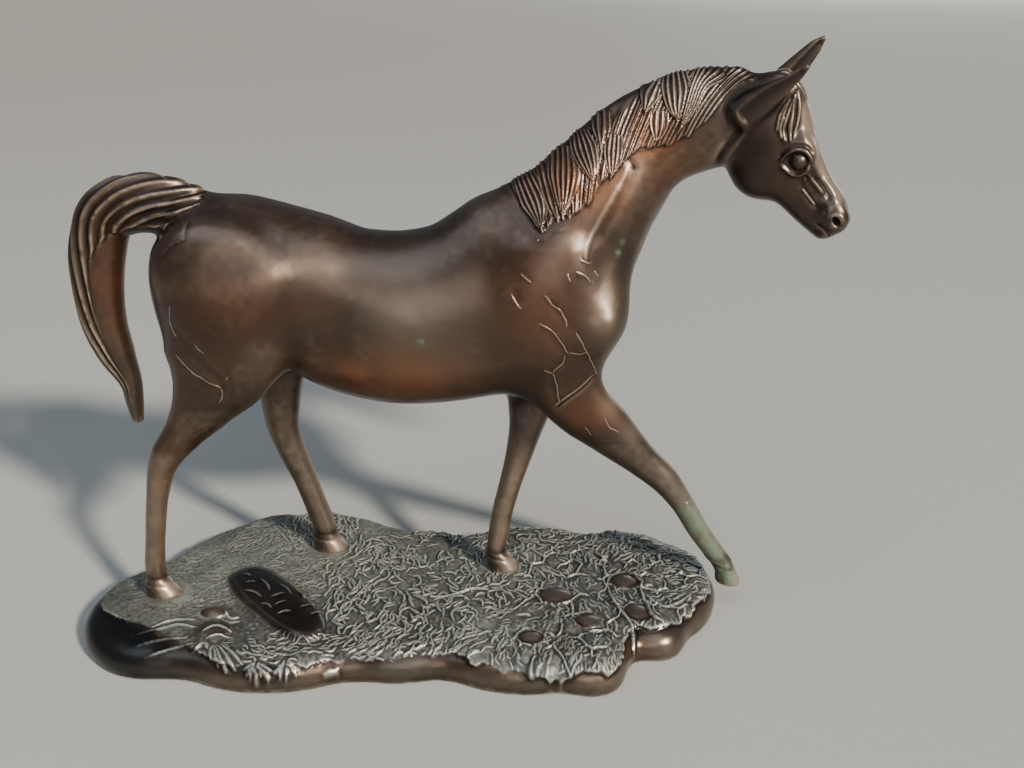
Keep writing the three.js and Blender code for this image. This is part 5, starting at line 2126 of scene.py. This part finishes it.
    def carving(self, points: Array) -> tuple[Array, Array]:
        """Heights of the carving, and how much turf there is.

        Args:
            points: Places on the smooth plate.

        Returns:
            The height and the turf at each place.
        """
        relief = Relief((-186, -86), (146, 82), 0.3)
        places = relief.places()
        self.grass(relief)
        kept = (1 - self.bare(places)) * self.turf(places) * (1 - 0.2 * self.cloddy(places))
        relief.height *= kept.reshape(relief.height.shape)
        self.lips(relief)
        self.leaves(relief)
        turf, bare = self.turf(points), self.bare(points)
        rough = 0.16 * crumble(points, 1.5, 8) + 0.22 * crumble(points, 3.4, 9)
        rough += 0.9 * crumble(points, 15, 11) + 0.5 * crumble(points, 7, 12)
        rough += self.cloddy(points) * self.clods(points)
        thick = 0.5 + 0.5 * fade(points[:, 0], 20, 40)
        height = relief.read(points) + turf * (thick + rough * (1 - bare))
        height -= 0.35 * self.leaf_cover(points, 0.84)
        height *= fade(points[:, 2], 3, 9)
        for hoof in self.hooves[:3]:
            out = np.hypot((points[:, 0] - hoof.x) / hoof.length, (points[:, 1] - hoof.y) / hoof.width)
            snug = fade(out, 1.7, 1.15)
            height = np.maximum(height, 0.8) * snug + height * (1 - snug)
        return height, turf * (1 - self.leaf_cover(points)) * (1 - 0.75 * bare)

    def build(self, finish: PlinthBronze) -> bpy.types.Object:
        """Meshes, carves and dresses the plinth.

        Args:
            finish: The bronze that it is cast in.

        Returns:
            The finished piece.
        """
        skin = Skin("plinth", "cast_plinth", self.cell)
        skin.points = self.settle(skin.points, 3)
        skin.refine(lambda points: (points[:, 2] > 9) & (self.turf(points) > 0.02))
        skin.points = self.settle(skin.points, 2)
        log.info("plinth: %d points after refining", len(skin.points))
        smooth = skin.points
        height, turf = self.carving(smooth)
        height = height + 0.15 * crumble(smooth, 8, 3) * fade(smooth[:, 2], 0.5, 4)
        moved = smooth + skin.normals * height[:, None]
        low = smooth[:, 2] < self.underside
        moved[:, 2] = np.where(low, smooth[:, 2], np.maximum(moved[:, 2], 0.05))
        skin.points = moved
        bulge = skin.bulge()
        # A painted shadow on the left roll, and darker on the leaf; it dims the pale ridges on the roll.
        shade = self.shade(smooth)
        worn = skin.spread(bulge, 1) / self.ridge_rise
        worn *= 0.35 + 0.65 * np.maximum(turf, fade(height, 0.4, 0.9))
        skin.paint("ridge", worn * (1 - 0.65 * shade * (1 - self.leaf_cover(smooth))))
        skin.paint("recess", skin.spread(-bulge, 2) / self.groove_depth)
        skin.paint("turf", turf)
        skin.paint("dust", self.dust(smooth) * turf * (1 - 0.6 * self.bare(smooth)))
        skin.paint("shade", shade)
        skin.thin(PIECE_FACES)
        skin.piece.data.materials.append(finish.material())
        return skin.piece

    def shade(self, points: Array) -> Array:
        """A painted shadow on the roll on the left, and darker on the leaf.

        Args:
            points: The places.

        Returns:
            How dark each place is.
        """
        x, y = points[:, 0], points[:, 1]
        roll = fade(x, -112, -150) * fade(y, 20, -20)
        return np.maximum(roll, 0.55 * self.leaf_cover(points))

    def dust(self, points: Array) -> Array:
        """How dusty the turf is: most on the left and between the hooves.

        Args:
            points: The places.

        Returns:
            How dusty each place is.
        """
        x, y = points[:, 0], points[:, 1]
        thick = sum(bell(np.hypot(x - cx, y - cy), radius) for cx, cy, radius in self.dust_spots)
        return np.clip(thick, 0, 1) * 0.7 + 0.3 + 0.2 * crumble(points, 12, 7)


# Studio


def facing(x: float, y: float, z: float) -> tuple[float, float, float]:
    """The turn of a lamp that hangs away from the work in a direction and shines back along it."""
    return math.atan2(math.hypot(x, y), z), 0.0, math.atan2(x, -y)


@dataclass(frozen=True)
class SlantLight:
    """A distant light, soft at its edge, that shines from a direction.

    Attributes:
        name: Its name.
        toward: The direction in which it hangs.
        breadth: How broad it looks, in degrees.
        strength: Its strength.
        colour: Its colour.
    """

    name: str
    toward: tuple[float, float, float]
    breadth: float
    strength: float
    colour: Colour

    def build(self) -> None:
        """Hangs the light."""
        data = bpy.data.lights.new(self.name, "SUN")
        data.angle = math.radians(self.breadth)
        data.energy = self.strength
        data.color = self.colour
        lamp = bpy.data.objects.new(self.name, data)
        lamp.rotation_euler = facing(*self.toward)
        bpy.context.collection.objects.link(lamp)


@dataclass(frozen=True)
class SoftLight:
    """A soft rectangular light that faces a point of the work.

    Attributes:
        name: Its name.
        place: Where it hangs, in metres.
        size: Its width and height.
        power: Its power in watts.
        colour: Its colour.
        aim: The point that it faces.
    """

    name: str
    place: tuple[float, float, float]
    size: tuple[float, float]
    power: float
    colour: Colour
    aim: tuple[float, float, float] = (0.0, 0.0, 0.13)

    def build(self) -> None:
        """Hangs the light."""
        data = bpy.data.lights.new(self.name, "AREA")
        data.shape = "RECTANGLE"
        data.size, data.size_y = self.size
        data.energy = self.power
        data.color = self.colour
        lamp = bpy.data.objects.new(self.name, data)
        lamp.location = self.place
        lamp.rotation_euler = facing(*(place - aim for place, aim in zip(self.place, self.aim)))
        bpy.context.collection.objects.link(lamp)


@dataclass
class Studio:
    """Floor, lights, sky and camera.

    Attributes:
        eye: Where the camera stands, in metres.
        pitch: How far it looks down, in degrees.
        lens: Its lens, in millimetres.
        sensor: Width of its frame, in millimetres.
        sky: Colour of the sky.
        sky_strength: The sky's strength.
        floor_reach: How far the floor goes, in metres.
        lights: The lights.
    """

    eye: tuple[float, float, float] = (0.030, -0.449, 0.306)
    pitch: float = 22.0
    lens: float = 35.33
    sensor: float = 36.0
    sky: Colour = (0.50, 0.60, 0.72)
    sky_strength: float = 0.24
    floor_reach: float = 60.0
    lights: tuple[SlantLight | SoftLight, ...] = (
        SlantLight("key", (0.58, -0.64, 0.52), 6, 6.4, (1.0, 0.92, 0.80)),
        SoftLight("overhead", (-0.3, -0.6, 1.6), (2.1, 1.2), 15, (0.74, 0.86, 1.0)),
        SoftLight("window", (-0.05, -1.75, 0.72), (0.8, 1.1), 8, (1.0, 0.96, 0.90)),
        SoftLight("wall", (9.0, 16.0, 3.2), (14.0, 5.0), 520, (0.88, 0.95, 1.0)),
    )

    def build(self) -> None:
        """Sets up everything about the work that isn't part of it."""
        bm = bmesh.new()
        bmesh.ops.create_grid(bm, x_segments=1, y_segments=1, size=self.floor_reach)
        mesh = bpy.data.meshes.new("studio_floor")
        bm.to_mesh(mesh)
        bm.free()
        mesh.materials.append(PaleFloor().material())
        floor = bpy.data.objects.new("studio_floor", mesh)
        bpy.context.collection.objects.link(floor)
        for light in self.lights:
            light.build()
        world = bpy.data.worlds.new("studio_sky")
        world.use_nodes = True
        back = world.node_tree.nodes["Background"]
        back.inputs["Color"].default_value = (*self.sky, 1.0)
        back.inputs["Strength"].default_value = self.sky_strength
        bpy.context.scene.world = world
        camera = bpy.data.cameras.new("camera")
        camera.lens = self.lens
        camera.sensor_width = self.sensor
        camera.clip_start = 0.01
        view = bpy.data.objects.new("camera", camera)
        view.location = self.eye
        view.rotation_euler = (math.radians(90 - self.pitch), 0, 0)
        bpy.context.collection.objects.link(view)
        bpy.context.scene.camera = view


def main() -> None:
    """Builds the horse, the plinth and the studio."""
    logging.basicConfig(level=logging.INFO, format="%(message)s")
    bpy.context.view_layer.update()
    horse = Horse()
    for build, finish, node, slot in (
        (horse.build, HorseBronze(), "horse", "horse_bronze"),
        (Plinth(horse.hooves).build, PlinthBronze(), "plinth", "plinth_bronze"),
    ):
        piece = build(finish)
        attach(piece, "root")
        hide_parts(node)
        log.info("%s: %d faces", piece.name, len(piece.data.polygons))
    Studio().build()


if __name__ == "__main__":
    main()
